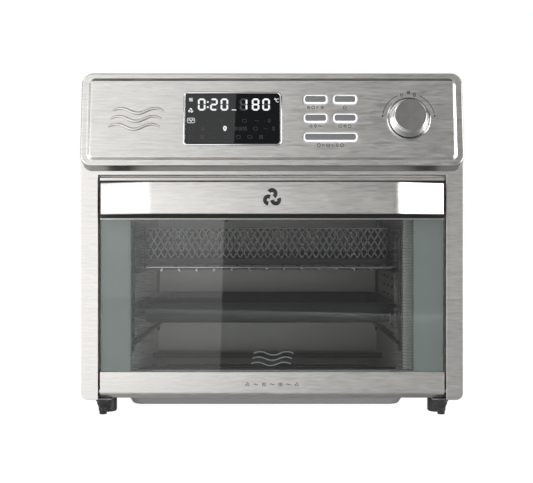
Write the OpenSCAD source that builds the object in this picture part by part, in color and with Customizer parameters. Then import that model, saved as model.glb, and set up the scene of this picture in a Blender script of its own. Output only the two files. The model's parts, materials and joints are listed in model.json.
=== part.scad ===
// Countertop convection toaster oven: a folded steel cabinet with a drop-down glass door,
// a tilted control fascia, a rack, a crisper basket, a baking pan and an under-slung crumb tray.
// Millimetres, +Z up, +Y towards the back. The origin is on the worktop under the middle of the
// whole oven, handle and rear spacers included.

/* [Cabinet] */
// Width of the cabinet across the front frame
body_w = 400; // [390:1:480]
// Height from the worktop to the top of the cabinet
body_h = 359; // [350:1:431]
// Depth of the cabinet behind the front plane
body_d = 325; // [300:1:400]
// Thickness of the folded sheet steel
sheet = 1; // [0.8:0.1:1.5]
// Height of the cabinet's underside above the worktop
clear_h = 15.3; // [15:0.1:18]
// Radius of the cabinet's top corners
corner_r = 12; // [8:1:16]
// Width of each front post
post_w = 17.6; // [16:0.1:24]
// Height of the front frame's opening below the cabinet top
header_drop = 108.1; // [106:0.1:114]
// Length of the spacers that keep the back off a wall
spacer_l = 12; // [8:1:20]

/* [Control fascia] */
// Height of the fascia from its lower edge to the cabinet top
fascia_h = 99.1; // [96:0.1:102]
// How far the fascia's lower edge stands in front of the front plane
fascia_reach = 5.5; // [4:0.1:7]
// Backward tilt of the fascia in degrees
fascia_tilt = 8.5; // [7:0.1:9]
// Height of the raised field of the fascia
field_rise = 2; // [1:0.1:2.5]
// Width of the slope round the raised field
field_slope = 3; // [2:0.1:4]
// Width of the display window
display_w = 99.3; // [80:0.1:104]
// Height of the display window
display_h = 54.1; // [44:0.1:60]
// Length of a short button
button_l = 25.1; // [20:0.1:27]
// Length of the long button
long_button_l = 56.3; // [45:0.1:58]
// Height of a button
button_w = 9.9; // [8:0.1:12]
// How far a button travels
button_travel = 1.2; // [0.8:0.1:1.5]
// Diameter of the knob at its base
knob_d = 42; // [35:0.1:44]
// Height of the knob above the fascia
knob_h = 15.6; // [12:0.1:20]

/* [Door] */
// Thickness of the door
door_t = 14; // [12:0.5:16]
// Gap between the door and the posts
door_gap = 2.2; // [1.5:0.1:3]
// Thickness of the door glass
glass_t = 4; // [3:0.5:5]
// Height of the steel trim along the door's lower edge
lower_trim_h = 27.9; // [26:0.1:34]
// Height of the handle's strap
handle_h = 32.6; // [27:0.1:36]
// How far the handle stands in front of the front plane
handle_reach = 42; // [35:1:50]
// Diameter of the hinge pins
pin_d = 6; // [5:0.1:7]

/* [Oven cavity] */
// Clear width of the cavity
cavity_w = 290; // [270:1:300]
// Sideways offset of the cavity, which leaves room for the fan
cavity_x = -6; // [-10:1:-4]
// Distance between the cavity's back and the cabinet's back
rear_gap = 35; // [32:1:45]
// Height of the cavity floor above the worktop
floor_z = 25; // [24:0.5:30]
// Distance between two shelf levels
shelf_pitch = 38; // [34:0.5:38]
// Height of the lowest shelf rail above the cavity floor
first_shelf = 47.8; // [42:0.1:50]
// Diameter of the shelf rails
rail_d = 4; // [3:0.1:5]
// Diameter of a heating element's tube
element_d = 6.5; // [6:0.1:8]

/* [Loose pieces] */
// Height of the crisper basket
basket_h = 41; // [30:1:42]
// Width of the crisper basket
basket_w = 271; // [240:1:274]
// Depth of the baking pan below its rim
pan_h = 20.2; // [15:0.1:30]
// Diameter of the rack's frame wire
rack_wire = 4; // [3:0.1:5]
// Diameter of the rack's cross wires
cross_wire = 2.4; // [2:0.1:3]
// Number of cross wires
cross_wires = 13; // [9:1:15]
// Height of the crumb tray
tray_h = 8; // [6:0.1:8]

/* [Feet] */
// Diameter of the round feet
foot_d = 19.5; // [16:0.1:24]
// Distance of the feet from the cabinet's sides
foot_inset = 24; // [20:0.5:28]

/* [Convection fan] */
// Diameter of the convection fan
fan_d = 110; // [90:1:112]
// Diameter of the fan's shaft
shaft_d = 5; // [4:0.1:6]

/* [Hidden] */
$fn = 48;
hull_fn = 32;

// Clearances
running_gap = 0.05;      // radial, a pin or shaft that turns in its bore
side_gap = 0.35;         // round a button in its opening
loose_gap = 0.2;         // between a loose piece and what it rests on
panel_gap = 0.1;         // between a panel's edge and the sheet round it
window_gap = 0.2;        // round the display window in its opening

// Cabinet
half_w = body_w / 2;
front_y = -(body_d + spacer_l - handle_reach) / 2;  // the front plane, in the oven's own frame
open_half_w = half_w - post_w;
open_top = body_h - header_drop;
return_d = 12;           // depth of the front frame's outer returns, where the wrapper starts
lip_d = 14;              // depth of the lip round the front opening
lip_z = clear_h + sheet + panel_gap;  // the lip's lower end, on the base plate
post_r = 7.5;            // radius of the front frame's lower corners
flange_y = 17;           // front face of the cavity's flange
shield_z = open_top - 8; // underside of the heat shield

// Fascia
fascia_z = body_h - fascia_h;
fascia_half_w = half_w + 0.5;
panel_l = fascia_h / cos(fascia_tilt);
lip_drop = 4.8;          // the fascia's lower lip runs down this much to the front plane
seam_z = fascia_z + corner_r;
field_margin_x = 8.8;
field_margin_v = 7.5;
field_r = 5.5;
field_half_w = fascia_half_w - field_margin_x;
knob_x = half_w - 57;
mid_v = panel_l / 2;
display_x = -41.5;
bezel_w = 2;
button_z = -0.6;         // underside of a button's stem flange, below the fascia's base surface
button_top = 4.6;
board_front = -12;       // front face of the control board
// Each button: its name, its place across and up the panel, and its length
buttons = [
    ["preheat", 45.4, 20.6, button_l], ["light", 76.2, 20.6, button_l],
    ["air_fry", 45.4, 0.4, button_l], ["oven", 76.2, 0.4, button_l],
    ["start", 60.8, -20, long_button_l]];

// Door
door_half_w = open_half_w - door_gap;
door_bottom = clear_h + 1.4;
door_top = open_top - 3.2;
hinge_y = door_t / 2;
hinge_z = door_bottom + door_t / 2;
glass_y = 1.2;
inner_y = glass_y + glass_t + 0.2;
lower_trim_top = door_bottom + lower_trim_h;
top_trim_h = 43.4;
handle_z = door_top - 22.3;
strap_t = 2.5;
strap_half_w = door_half_w - 3.4;  // half the handle's whole length
strap_flat = door_half_w - 54.5;  // half the length of the strap's straight middle
strap_end_reach = 15.5;
window_half_w = door_half_w - 31.7;
standoff_x = door_half_w - 17;

// Cavity
cavity_half = cavity_w / 2;
cavity_l = cavity_x - cavity_half;
cavity_r = cavity_x + cavity_half;
cavity_top = open_top - 18.9;
cavity_front = flange_y + sheet;
cavity_back = body_d - rear_gap;
rail_inset = 4.5;        // a shelf rail's middle, in from the cavity's wall
post_wire = 3;           // wires that carry the shelf rails
rail_y0 = cavity_front + 10;
rail_y1 = cavity_back - 8;
element_ys = [cavity_front + 67, cavity_back - 65];
upper_element_z = cavity_top - 10;
lower_element_z = floor_z + 11;
cap_d = 13;
cap_l = 14;

// Fan group, on the cavity's right
fan_y = cavity_front + 132;
fan_z = (floor_z + cavity_top) / 2;
housing_d = 26;
housing_half_y = fan_d / 2 + 20;
housing_half_z = fan_d / 2 + 15;
cooling_d = 56;
motor_x = cavity_r + sheet + housing_d + 7;
motor_l = 22;
lamp_d = 40;
lamp_y = fan_y + housing_half_y + lamp_d / 2 + 4;
lamp_z = cavity_top - 30;

// Loose pieces
rack_half_w = cavity_half - 3.6;
rack_z = floor_z + first_shelf + 2 * shelf_pitch + rail_d / 2 + loose_gap + rack_wire / 2;
rack_y0 = cavity_front + 15;
rack_y1 = cavity_back - 14;
rack_corner = 12;
cross_pitch = 18.8;
basket_z = rack_z + rack_wire / 2 + 0.3;
basket_y0 = rack_y0 + 7;
basket_y1 = rack_y1 - 4;
basket_wall = 1.5;
pan_rim_z = floor_z + first_shelf + shelf_pitch + rail_d / 2 + 0.4;
pan_rim_half = cavity_half - 3.5;
pan_half = pan_rim_half - 7;
pan_y0 = cavity_front + 22;
pan_y1 = cavity_back - 18;
tray_z = clear_h - 0.3 - tray_h;
tray_half = cavity_half + 4;
tray_x = cavity_x - 1;
tray_y0 = 20;
tray_y1 = body_d - 65;
tray_draft = 5;
tray_rim = 3;

// Feet and back
foot_x = half_w - foot_inset;
foot_ys = [25, body_d - 30];
stop_x = half_w - foot_inset + 1.6;
stop_y = 4.5;
spacer_x = 140;
spacer_z = body_h - 60;
gland_x = -half_w + 50;
gland_z = clear_h + 32;
cord_bore = 7.4;

// ---------- helpers ----------

// Moves a piece drawn from the front plane (y = 0) into the oven's own frame
module placed() { translate([0, front_y, 0]) children(); }

// A box between two opposite corners
module slab(lo, hi) { translate(lo) cube(hi - lo); }

// A rectangle about the origin with true round corners
module rounded(w, h, r) {
    square([w - 2 * r, h], center = true);
    square([w, h - 2 * r], center = true);
    for (sx = [-1, 1], sy = [-1, 1])
        translate([sx * (w / 2 - r), sy * (h / 2 - r)]) circle(r);
}

// A round-ended slot about the origin
module slot(l, w) {
    square([l - w, w], center = true);
    for (s = [-1, 1]) translate([s * (l - w) / 2, 0]) circle(w / 2);
}

// Extrudes a front view (x across, y up) from y0 towards the back
module from_front(y0, depth) {
    translate([0, y0 + depth, 0]) rotate([90, 0, 0]) linear_extrude(depth) children();
}

// Extrudes a side view (x towards the back, y up) from x0 towards the right
module from_side(x0, length) {
    translate([x0, 0, 0]) rotate([90, 0, 90]) linear_extrude(length) children();
}

// A round bar along X, Y or Z
module bar_x(d, x0, x1, y, z) { translate([x0, y, z]) rotate([0, 90, 0]) cylinder(d = d, h = x1 - x0); }
module bar_y(d, y0, y1, x, z) { translate([x, y0, z]) rotate([-90, 0, 0]) cylinder(d = d, h = y1 - y0); }
module bar_z(d, z0, z1, x, y) { translate([x, y, z0]) cylinder(d = d, h = z1 - z0); }

// The fascia's own plane: x across, y up the slope from its lower edge, z out of the panel
module on_panel(x = 0, v = 0, w = 0) {
    translate([0, -fascia_reach, fascia_z]) rotate([90 - fascia_tilt, 0, 0])
        translate([x, v, w]) children();
}

// ---------- cabinet ----------

// Inverted U of folded stainless sheet round the door
module front_frame() color("silver") placed() difference() {
    union() {
        from_front(0, sheet) difference() {
            union() {
                translate([0, (clear_h + seam_z) / 2]) rounded(body_w, seam_z - clear_h, post_r);
                translate([-half_w, seam_z - 2 * post_r]) square([body_w, 2 * post_r]);
            }
            translate([-open_half_w, 0]) square([2 * open_half_w, open_top]);
        }
        for (s = [-1, 1]) {
            from_front(0, return_d) translate([s * (half_w - sheet / 2), (clear_h + post_r + seam_z) / 2])
                square([sheet, seam_z - clear_h - post_r], center = true);
            from_front(0, lip_d) translate([s * (open_half_w + sheet / 2), (lip_z + open_top + sheet) / 2])
                square([sheet, open_top + sheet - lip_z], center = true);
        }
        slab([-open_half_w - sheet, 0, open_top], [open_half_w + sheet, lip_d, open_top + sheet]);
    }
    bar_x(pin_d + 3, -half_w + 2 * sheet, half_w - 2 * sheet, hinge_y, hinge_z);
}

vent_w = 3.5;
vent_pitch = 9;
// A row of upright vent slots seen from the side, centred on y and z
module vent_row(count, y, z, l) {
    for (i = [0 : count - 1])
        translate([y + (i - (count - 1) / 2) * vent_pitch, z]) rotate(90) slot(l, vent_w);
}

// Top and both sides, one folded sheet
module outer_wrapper() color("gainsboro") placed() difference() {
    from_front(return_d, body_d - return_d) difference() {
        wrapper_outline(half_w, body_h, corner_r);
        wrapper_outline(half_w - sheet, body_h - sheet, corner_r - sheet);
    }
    from_side(-body_w, 2 * body_w) vent_row(15, body_d - 100, body_h - 62, 46);
    from_side(-body_w, 2 * body_w) vent_row(15, body_d - 100, clear_h + 45, 34);
}
module wrapper_outline(half, top, r) {
    translate([-half, clear_h]) square([2 * half, top - clear_h - r]);
    translate([-half + r, clear_h]) square([2 * (half - r), top - clear_h]);
    for (s = [-1, 1]) translate([s * (half - r), top - r]) circle(r);
}

back_vent_x = half_w - 80;
module back_panel() color("gray") placed() difference() {
    from_front(body_d - sheet, sheet) difference() {
        wrapper_outline(half_w - sheet - panel_gap, body_h - sheet - panel_gap, corner_r - sheet);
        translate([-body_w, 0]) square([2 * body_w, clear_h + sheet + panel_gap]);
    }
    from_front(body_d - 2 * sheet, 3 * sheet) for (row = [0 : 2])
        translate([back_vent_x, fan_z + (row - 1) * 44]) for (i = [-4 : 4])
            translate([i * 10, 0]) rotate(90) slot(36, vent_w);
    from_front(body_d - 2 * sheet, 3 * sheet) for (i = [-8 : 8])
        translate([i * 12, body_h - 34]) rotate(90) slot(30, vent_w);
    bar_y(gland_neck_d, body_d - 2 * sheet, body_d + sheet, gland_x, gland_z);
}

crumb_x0 = cavity_l + 12;
crumb_x1 = cavity_r - 12;
crumb_y0 = 48;
crumb_y1 = tray_y1 - 14;
// Floor of the cabinet, with the opening over the crumb tray and the tabs of the front feet
module base_plate() color("gray") placed() difference() {
    union() {
        slab([-half_w + sheet + panel_gap, flange_y + sheet + 0.2, clear_h],
            [half_w - sheet - panel_gap, body_d - 2 * sheet, clear_h + sheet]);
        for (s = [-1, 1]) slab([s * (stop_x + 1) - 10, 2, clear_h],
            [s * (stop_x + 1) + 10, flange_y + 2, clear_h + sheet]);
    }
    slab([crumb_x0, crumb_y0, 0], [crumb_x1, crumb_y1, clear_h + 2 * sheet]);
    for (s = [-1, 1]) {
        for (y = foot_ys) bar_z(screw_d, 0, clear_h + 2 * sheet, s * foot_x, y);
        bar_z(screw_d, 0, clear_h + 2 * sheet, s * stop_x, stop_y);
    }
}

screw_d = 4;
guard_half_y = housing_half_y - 6;
guard_half_z = housing_half_z - 6;
floor_slots = 5;
// The oven's inner box with its front flange; the floor's slots drop crumbs into the tray
module oven_cavity() color("slategray") placed() difference() {
    union() {
        slab([cavity_l - sheet, flange_y, floor_z - sheet],
            [cavity_r + sheet, cavity_back + sheet, cavity_top + sheet]);
        slab([-open_half_w - 6, flange_y, clear_h + sheet + 0.2],
            [open_half_w + 6, cavity_front, open_top + 8]);
    }
    slab([cavity_l, 0, floor_z], [cavity_r, cavity_back, cavity_top]);
    for (i = [0 : floor_slots - 1]) let (y = crumb_y0 + 4 + i * (crumb_y1 - crumb_y0 - 8) / floor_slots)
        slab([crumb_x0 + 5, y, 0], [crumb_x1 - 5, y + (crumb_y1 - crumb_y0) / floor_slots - 14,
            floor_z + 1]);
    slab([cavity_r - 1, fan_y - guard_half_y + 4, fan_z - guard_half_z + 4],
        [cavity_r + 2, fan_y + guard_half_y - 4, fan_z + guard_half_z - 4]);
    bar_x(lamp_d, cavity_r - 1, cavity_r + 2, lamp_y, lamp_z);
    for (y = element_ys, z = [upper_element_z, lower_element_z])
        bar_x(element_d + 1, cavity_l - 2, cavity_r + 2, y, z);
    bar_y(probe_d + 0.4, cavity_back - 1, cavity_back + 2, probe_x, probe_z);
}

// One side's shelf rails on two upright wires; side -1 is the left wall, 1 the right
module rack_rails(side) {
    wall = side < 0 ? cavity_l : cavity_r;
    for (i = [0 : 3])
        bar_y(rail_d, rail_y0, rail_y1, wall - side * rail_inset, floor_z + first_shelf + i * shelf_pitch);
    for (y = [rail_y0 + 6, rail_y1 - 6])
        bar_z(post_wire, floor_z + first_shelf - 10, floor_z + first_shelf + 3 * shelf_pitch + 10,
            wall - side * post_wire / 2, y);
}
module rack_rails_left() color("silver") placed() rack_rails(-1);
module rack_rails_right() color("silver") placed() rack_rails(1);

// Two straight sheathed tubes across the cavity, their ends outside it
module elements(z) {
    for (y = element_ys) {
        bar_x(element_d, cavity_l - 13, cavity_r + 13, y, z);
        for (s = [-1, 1]) translate([cavity_x + s * (cavity_half + 16.5), y, z])
            cube([8, 1, 5], center = true);
    }
}
module upper_heating_elements() color("dimgray") placed() elements(upper_element_z);
module lower_heating_elements() color("dimgray") placed() elements(lower_element_z);

module element_end_caps() color("white") placed()
    for (y = element_ys, z = [upper_element_z, lower_element_z], s = [-1, 1])
        translate([cavity_x + s * (cavity_half + sheet), y, z]) rotate([0, s * 90, 0]) difference() {
            cylinder(d = cap_d, h = cap_l);
            translate([0, 0, -1]) cylinder(d = element_d, h = cap_l + 2);
        }

slit_rows = 11;
// Slotted plate over the fan, on the cavity's inner side
module fan_guard() color("gray") placed() difference() {
    slab([cavity_r - 1.2, fan_y - guard_half_y, fan_z - guard_half_z],
        [cavity_r - 0.2, fan_y + guard_half_y, fan_z + guard_half_z]);
    from_side(cavity_r - 3, 6) for (row = [0 : slit_rows - 1], col = [-1 : 1])
        translate([fan_y + col * (2 * guard_half_y - 14) / 3,
            fan_z + (row - (slit_rows - 1) / 2) * (2 * guard_half_z - 22) / (slit_rows - 1)])
            slot((2 * guard_half_y - 14) / 3 - 6, 3);
}

// Pressed cover behind the convection fan
module fan_housing() color("lightgray") placed() difference() {
    from_side(cavity_r + sheet, housing_d) translate([fan_y, fan_z])
        rounded(2 * housing_half_y, 2 * housing_half_z, 12);
    from_side(cavity_r, housing_d) translate([fan_y, fan_z])
        rounded(2 * (housing_half_y - sheet), 2 * (housing_half_z - sheet), 11);
    bar_x(shaft_d + 4, cavity_r, cavity_r + 2 * housing_d, fan_y, fan_z);
}

motor_half = 26;
motor_post = 24;
// Shaded-pole motor: laminated stack, coil and two bearing bridges
module fan_motor() color("darkgray") placed() difference() {
    union() {
        slab([motor_x, fan_y - motor_half + 4, fan_z - motor_half], [motor_x + 2.5,
            fan_y + motor_half - 4, fan_z + motor_half]);
        slab([motor_x, fan_y - motor_half, fan_z - motor_half], [motor_x + 2.5, fan_y + motor_half,
            fan_z + motor_half]);
        slab([motor_x + 2.5, fan_y - 22, fan_z - 24], [motor_x + 14, fan_y + 22, fan_z + 24]);
        slab([motor_x + 4, fan_y - 15, fan_z - 36], [motor_x + 18, fan_y + 15, fan_z - 22]);
        slab([motor_x + 14, fan_y - 9, fan_z - 24], [motor_x + 16.5, fan_y + 9, fan_z + 24]);
        bar_x(14, motor_x + 16, motor_x + 20, fan_y, fan_z);
    }
    bar_x(shaft_d + 2 * running_gap, motor_x - 1, motor_x + motor_l, fan_y, fan_z);
}

module fan_motor_standoffs() color("silver") placed()
    for (sy = [-1, 1], sz = [-1, 1])
        bar_x(5, cavity_r + sheet + housing_d, motor_x, fan_y + sy * motor_post,
            fan_z + sz * (motor_post - 2));

// One rotor: convection fan, shaft and the cooling fan between housing and motor
blade_count = 8;
cooling_blades = 6;
module fan_rotor() color("silver") placed() translate([cavity_r, fan_y, fan_z]) rotate([0, 90, 0]) {
    translate([0, 0, 6]) cylinder(d = shaft_d, h = motor_x + motor_l - 4 - cavity_r - 6);
    translate([0, 0, 6]) cylinder(d = 14, h = 14);
    translate([0, 0, 18]) cylinder(d = fan_d, h = 1.2);
    for (i = [0 : blade_count - 1]) rotate(i * 360 / blade_count) translate([6, -0.6, 8])
        cube([fan_d / 2 - 7, 1.2, 10.6]);
    cool_z = sheet + housing_d + 1.5;
    translate([0, 0, cool_z]) cylinder(d = 16, h = 3.6);
    for (i = [0 : cooling_blades - 1]) rotate(i * 360 / cooling_blades) translate([6, -5, cool_z + 1])
        cube([cooling_d / 2 - 7, 10, 1]);
}

module lamp_lens() color("lightblue", 0.5) placed()
    bar_x(lamp_d + 6, cavity_r - 1.9, cavity_r - 0.2, lamp_y, lamp_z);
module lamp_holder() color("silver") placed() difference() {
    bar_x(lamp_d + 4, cavity_r + sheet, cavity_r + 34, lamp_y, lamp_z);
    bar_x(lamp_d + 2, cavity_r, cavity_r + 33, lamp_y, lamp_z);
    bar_x(14.2, cavity_r, cavity_r + 40, lamp_y, lamp_z);
}
module lamp_bulb() color("ivory") placed() {
    bar_x(14, cavity_r + 26, cavity_r + 42, lamp_y, lamp_z);
    bar_x(20, cavity_r + 8, cavity_r + 26, lamp_y, lamp_z);
}

// Sheet between the hot cavity and the electronics
module heat_shield() color("silver") placed() {
    slab([-half_w + 8, cavity_front + 2, shield_z], [half_w - 8, body_d - 6, shield_z + sheet]);
    for (s = [-1, 1]) slab([s * (half_w - 8.5) - sheet / 2, cavity_front + 2, shield_z],
        [s * (half_w - 8.5) + sheet / 2, body_d - 6, shield_z + 12]);
}

// ---------- control fascia ----------

skin = 1.2;
// The fascia's hollow or solid body, drawn inset by the given wall
module fascia_body(inset) hull($fn = hull_fn) {
    on_panel(0, mid_v, -inset - 0.01) linear_extrude(0.01)
        rounded(2 * (fascia_half_w - inset), panel_l - 2 * inset, corner_r - inset, $fn = hull_fn);
    low = fascia_z - lip_drop * (return_d + fascia_reach) / fascia_reach;
    from_front(return_d - 0.01, 0.01) translate([0, (low + body_h) / 2])
        rounded(2 * (fascia_half_w - inset), body_h - low - 2 * inset, corner_r - inset, $fn = hull_fn);
}

// The raised field, drawn inset by the given wall
module fascia_field(inset) hull($fn = hull_fn) {
    on_panel(0, mid_v, -inset - 0.02) linear_extrude(0.02)
        rounded(2 * (field_half_w - inset) + field_slope, panel_l - 2 * (field_margin_v + inset)
            + field_slope,
            field_r + field_slope / 2, $fn = hull_fn);
    on_panel(0, mid_v, field_rise - inset - 0.02) linear_extrude(0.02)
        rounded(2 * (field_half_w - inset) - field_slope, panel_l - 2 * (field_margin_v + inset)
            - field_slope,
            field_r - field_slope / 2, $fn = hull_fn);
}

module button_outline(b, gap) { slot(b[3] + 2 * gap, button_w + 2 * gap); }

module control_fascia() color("silver") placed() difference() {
    union() {
        fascia_body(0);
        fascia_field(0);
    }
    fascia_body(skin);
    fascia_field(skin);
    slab([-fascia_half_w + skin, return_d - 1, seam_z], [fascia_half_w - skin, return_d + 1,
        body_h - corner_r]);
    slab([-body_w, 0, 0], [body_w, body_d, seam_z]);
    slab([-body_w, return_d, 0], [body_w, body_d, 2 * body_h]);
    on_panel(display_x, mid_v, -5) linear_extrude(20)
        rounded(display_w + 2 * window_gap, display_h + 2 * window_gap, 3.5);
    for (b = buttons) on_panel(b[1], mid_v + b[2], -5) linear_extrude(20) button_outline(b, side_gap);
    on_panel(knob_x, mid_v, -5) cylinder(d = bush_d + 0.6, h = 20);
}

module display_bezel() color("silver") placed() on_panel(display_x, mid_v, field_rise)
    linear_extrude(1) difference() {
        rounded(display_w + 2 * bezel_w, display_h + 2 * bezel_w, 5);
        rounded(display_w + 0.02, display_h + 0.02, 3.2);
    }

module display_window() color("black") placed() on_panel(display_x, mid_v, field_rise - 1.5)
    linear_extrude(2) rounded(display_w, display_h, 3.2);

bush_d = 9;
encoder_half = 7;
stem_end = -7;
// Circuit board behind the fascia, with the display's lamp house, a switch behind each button
// and four posts
module control_board() color("darkgreen") placed() {
    x0 = display_x - display_w / 2;
    x1 = knob_x + 18;
    on_panel(x0, mid_v - 34, board_front - 1.6) cube([x1 - x0, 68, 1.6]);
    on_panel(display_x, mid_v, board_front) linear_extrude(-board_front - 1)
        square([display_w - 8, display_h - 8], center = true);
    for (b = buttons) on_panel(b[1], mid_v + b[2], board_front) {
        linear_extrude(2.2) square([6, 6], center = true);
        cylinder(d = 3.4, h = stem_end - button_travel - 0.1 - board_front);
    }
    for (x = [x0 + 4, x1 - 4], v = [-30, 30]) on_panel(x, mid_v + v, board_front)
        cylinder(d = 5, h = -board_front + field_rise - skin);
}

module knob_ring() color("silver") placed() on_panel(knob_x, mid_v, field_rise)
    rotate_extrude($fn = 96) polygon([[8, 0], [knob_d / 2 + 2, 0], [knob_d / 2 + 2, 0.8],
        [knob_d / 2 + 1, 1.8], [8, 1.8]]);

// Rotary encoder: case behind the fascia, threaded bush through it
module encoder() color("dimgray") placed() on_panel(knob_x, mid_v, 0) difference() {
    union() {
        translate([-encoder_half, -encoder_half, -7]) cube([2 * encoder_half, 2 * encoder_half, 7.6]);
        translate([0, 0, 0.5]) cylinder(d = bush_d, h = 5);
        for (s = [-1, 0, 1]) translate([s * 4 - 0.5, -0.5, board_front]) cube([1, 1, 6]);
    }
    translate([0, 0, -5]) cylinder(d = shaft_dia + 2 * running_gap, h = 20);
}
shaft_dia = 6;
module encoder_shaft() color("silver") placed() on_panel(knob_x, mid_v, 0)
    translate([0, 0, -4.9]) cylinder(d = shaft_dia, h = 17);

cap_face_d = 32;
// Flared knob with a recess for its face disc and a blind hub on the encoder's shaft
module knob_body() color("silver") placed() on_panel(knob_x, mid_v, field_rise) difference() {
    rotate_extrude($fn = 96) polygon([[0, 2.2], [knob_d / 2, 2.2], [knob_d / 2, 4], [knob_d / 2 - 1.4, 7],
        [knob_d / 2 - 3.4, 12], [knob_d / 2 - 3.6, knob_h - 1], [knob_d / 2 - 4.4, knob_h], [0, knob_h]]);
    translate([0, 0, 1]) cylinder(d = bush_d + 2, h = 3.6);
    translate([0, 0, 1]) cylinder(d = shaft_dia, h = 12.1 - field_rise);
    translate([0, 0, knob_h - 1]) cylinder(d = cap_face_d, h = 2, $fn = 96);
}
module knob_cap() color("gray") placed() on_panel(knob_x, mid_v, field_rise)
    translate([0, 0, knob_h - 1]) cylinder(d = cap_face_d - 0.1, h = 0.8, $fn = 96);

button_chamfer = 1.5;
// A capsule button with a chamfered face, its stop flange and its stem
module button(b) color("gray") placed() on_panel(b[1], mid_v + b[2], 0) {
    end_x = (b[3] - button_w) / 2;
    r = button_w / 2;
    profile = [[0, button_z], [r, button_z], [r, button_top - button_chamfer],
        [r - button_chamfer, button_top], [0, button_top]];
    for (s = [-1, 1]) translate([s * end_x, 0, 0]) rotate(s > 0 ? -90 : 90)
        rotate_extrude(angle = 180) polygon(profile);
    rotate([90, 0, 90]) linear_extrude(2 * end_x, center = true) polygon(concat(
        [for (p = profile) if (p[0] > 0) p], [for (i = [len(profile) - 2 : -1 : 1]) [-profile[i][0],
            profile[i][1]]]));
    translate([0, 0, button_z]) linear_extrude(1.2) slot(b[3] + 2.4, button_w + 2.4);
    translate([0, 0, stem_end]) cylinder(d = 4, h = button_z - stem_end + 0.5);
}
module preheat_button() button(buttons[0]);
module light_button() button(buttons[1]);
module air_fry_button() button(buttons[2]);
module oven_button() button(buttons[3]);
module start_button() button(buttons[4]);

board_x = -half_w + 60;
board_y = 120;
// Mains board on the heat shield: transformer, relays and capacitors
module power_board() color("darkgreen") placed() {
    z = shield_z + sheet;
    for (x = [board_x + 5, board_x + 115], y = [board_y + 5, board_y + 75]) bar_z(5, z, z + 6, x, y);
    slab([board_x, board_y, z + 6], [board_x + 120, board_y + 80, z + 7.6]);
    slab([board_x + 8, board_y + 14, z + 7], [board_x + 44, board_y + 44, z + 37]);
    for (i = [0 : 2]) slab([board_x + 54 + i * 20, board_y + 12, z + 7], [board_x + 69 + i * 20,
        board_y + 40, z + 27]);
    for (i = [0 : 2]) bar_z(12, z + 7, z + 28, board_x + 60 + i * 20, board_y + 60);
}

// ---------- hinge, seal, feet and back ----------

bracket_x = open_half_w + sheet + 0.6;
module hinge_brackets() color("gray") placed() difference() {
    for (s = [-1, 1]) {
        slab([s * (bracket_x + 1) - 1, 2, clear_h + sheet], [s * (bracket_x + 1) + 1, flange_y - 0.5,
            hinge_z + 34]);
        slab([s * (bracket_x + 5) - 5, 2, clear_h + sheet], [s * (bracket_x + 5) + 5, flange_y - 0.5,
            clear_h + 2 * sheet]);
    }
    bar_x(pin_d + 2 * running_gap, -body_w, body_w, hinge_y, hinge_z);
}

spring_wire = 1.4;
spring_turns = 4;
spring_sides = 6;
spring_steps = 20;      // rings in one turn
// A closed tube along a helix about X: rings of points, then faces between rings
module coil(r, pitch, turns, wire) {
    rings = turns * spring_steps;
    points = [for (i = [0 : rings]) let (a = 360 * i / spring_steps)
        for (j = [0 : spring_sides - 1]) let (b = 360 * j / spring_sides, q = r + wire / 2 * cos(b))
            [pitch * i / spring_steps + wire / 2 * sin(b), q * cos(a), q * sin(a)]];
    walls = [for (i = [0 : rings - 1], j = [0 : spring_sides - 1]) let (k = (j + 1) % spring_sides,
        a = i * spring_sides)
        [a + j, a + spring_sides + j, a + spring_sides + k, a + k]];
    polyhedron(points, concat(walls, [[for (j = [0 : spring_sides - 1]) j]],
        [[for (j = [spring_sides - 1 : -1 : 0]) rings * spring_sides + j]]), convexity = 8);
}
// Torsion springs on the hinge pins, outside the brackets
module door_springs() color("dimgray") placed() for (s = [-1, 1])
    translate([s > 0 ? bracket_x + 3.2 : -bracket_x - 3.2 - spring_turns * 1.8, hinge_y, hinge_z])
        coil(pin_d / 2 + 1.4, 1.8, spring_turns, spring_wire);

seal_w = 5;
seal_side = 11;         // from the cavity's opening to the seal, at the sides
seal_above = 3.8;       // and above and below it, clear of the crumb tray
module door_seal() color("dimgray") placed() from_front(door_t + 0.3, flange_y - door_t - 0.3) difference() {
    seal_ring(seal_w);
    seal_ring(0);
}
module seal_ring(grow) {
    w = 2 * (max(-cavity_l, cavity_r) + seal_side);
    translate([0, (floor_z + cavity_top) / 2])
        rounded(w + 2 * grow, cavity_top - floor_z + 2 * (seal_above + grow), 8 + grow);
}

// Stepped stops under the door's corners
module front_stop_feet() color("black") placed() for (s = [-1, 1]) translate([s * stop_x, stop_y, 0])
    difference() {
    rotate_extrude() polygon([[0, 0], [3.6, 0], [3.9, 0.4], [3.9, 3.4], [4.5, 3.6], [4.7, 7.4], [6.4, 11.4],
        [6.4, 13.6], [7.4, 13.8], [7.4, clear_h], [0, clear_h]]);
    translate([0, 0, clear_h - 6]) cylinder(d = screw_d, h = 10);
}

foot_r = 2;
module round_feet() color("black") placed() for (s = [-1, 1], y = foot_ys) translate([s * foot_x, y, 0])
    difference() {
    rotate_extrude() union() {
        translate([0, foot_r]) square([foot_d / 2, clear_h - foot_r]);
        square([foot_d / 2 - foot_r, foot_r + 1]);
        translate([foot_d / 2 - foot_r, foot_r]) circle(foot_r);
    }
    translate([0, 0, -1]) cylinder(d = screw_d + 4.4, h = 6);
    translate([0, 0, -1]) cylinder(d = screw_d, h = clear_h + 2);
}

module foot_screws() color("silver") placed() for (s = [-1, 1]) {
    for (y = foot_ys) {
        bar_z(screw_d - 0.02, 4.9, clear_h + sheet + 4, s * foot_x, y);
        bar_z(screw_d + 4, 2.6, 4.98, s * foot_x, y);
    }
    bar_z(screw_d - 0.02, clear_h - 5.9, clear_h + sheet, s * stop_x, stop_y);
}

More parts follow.
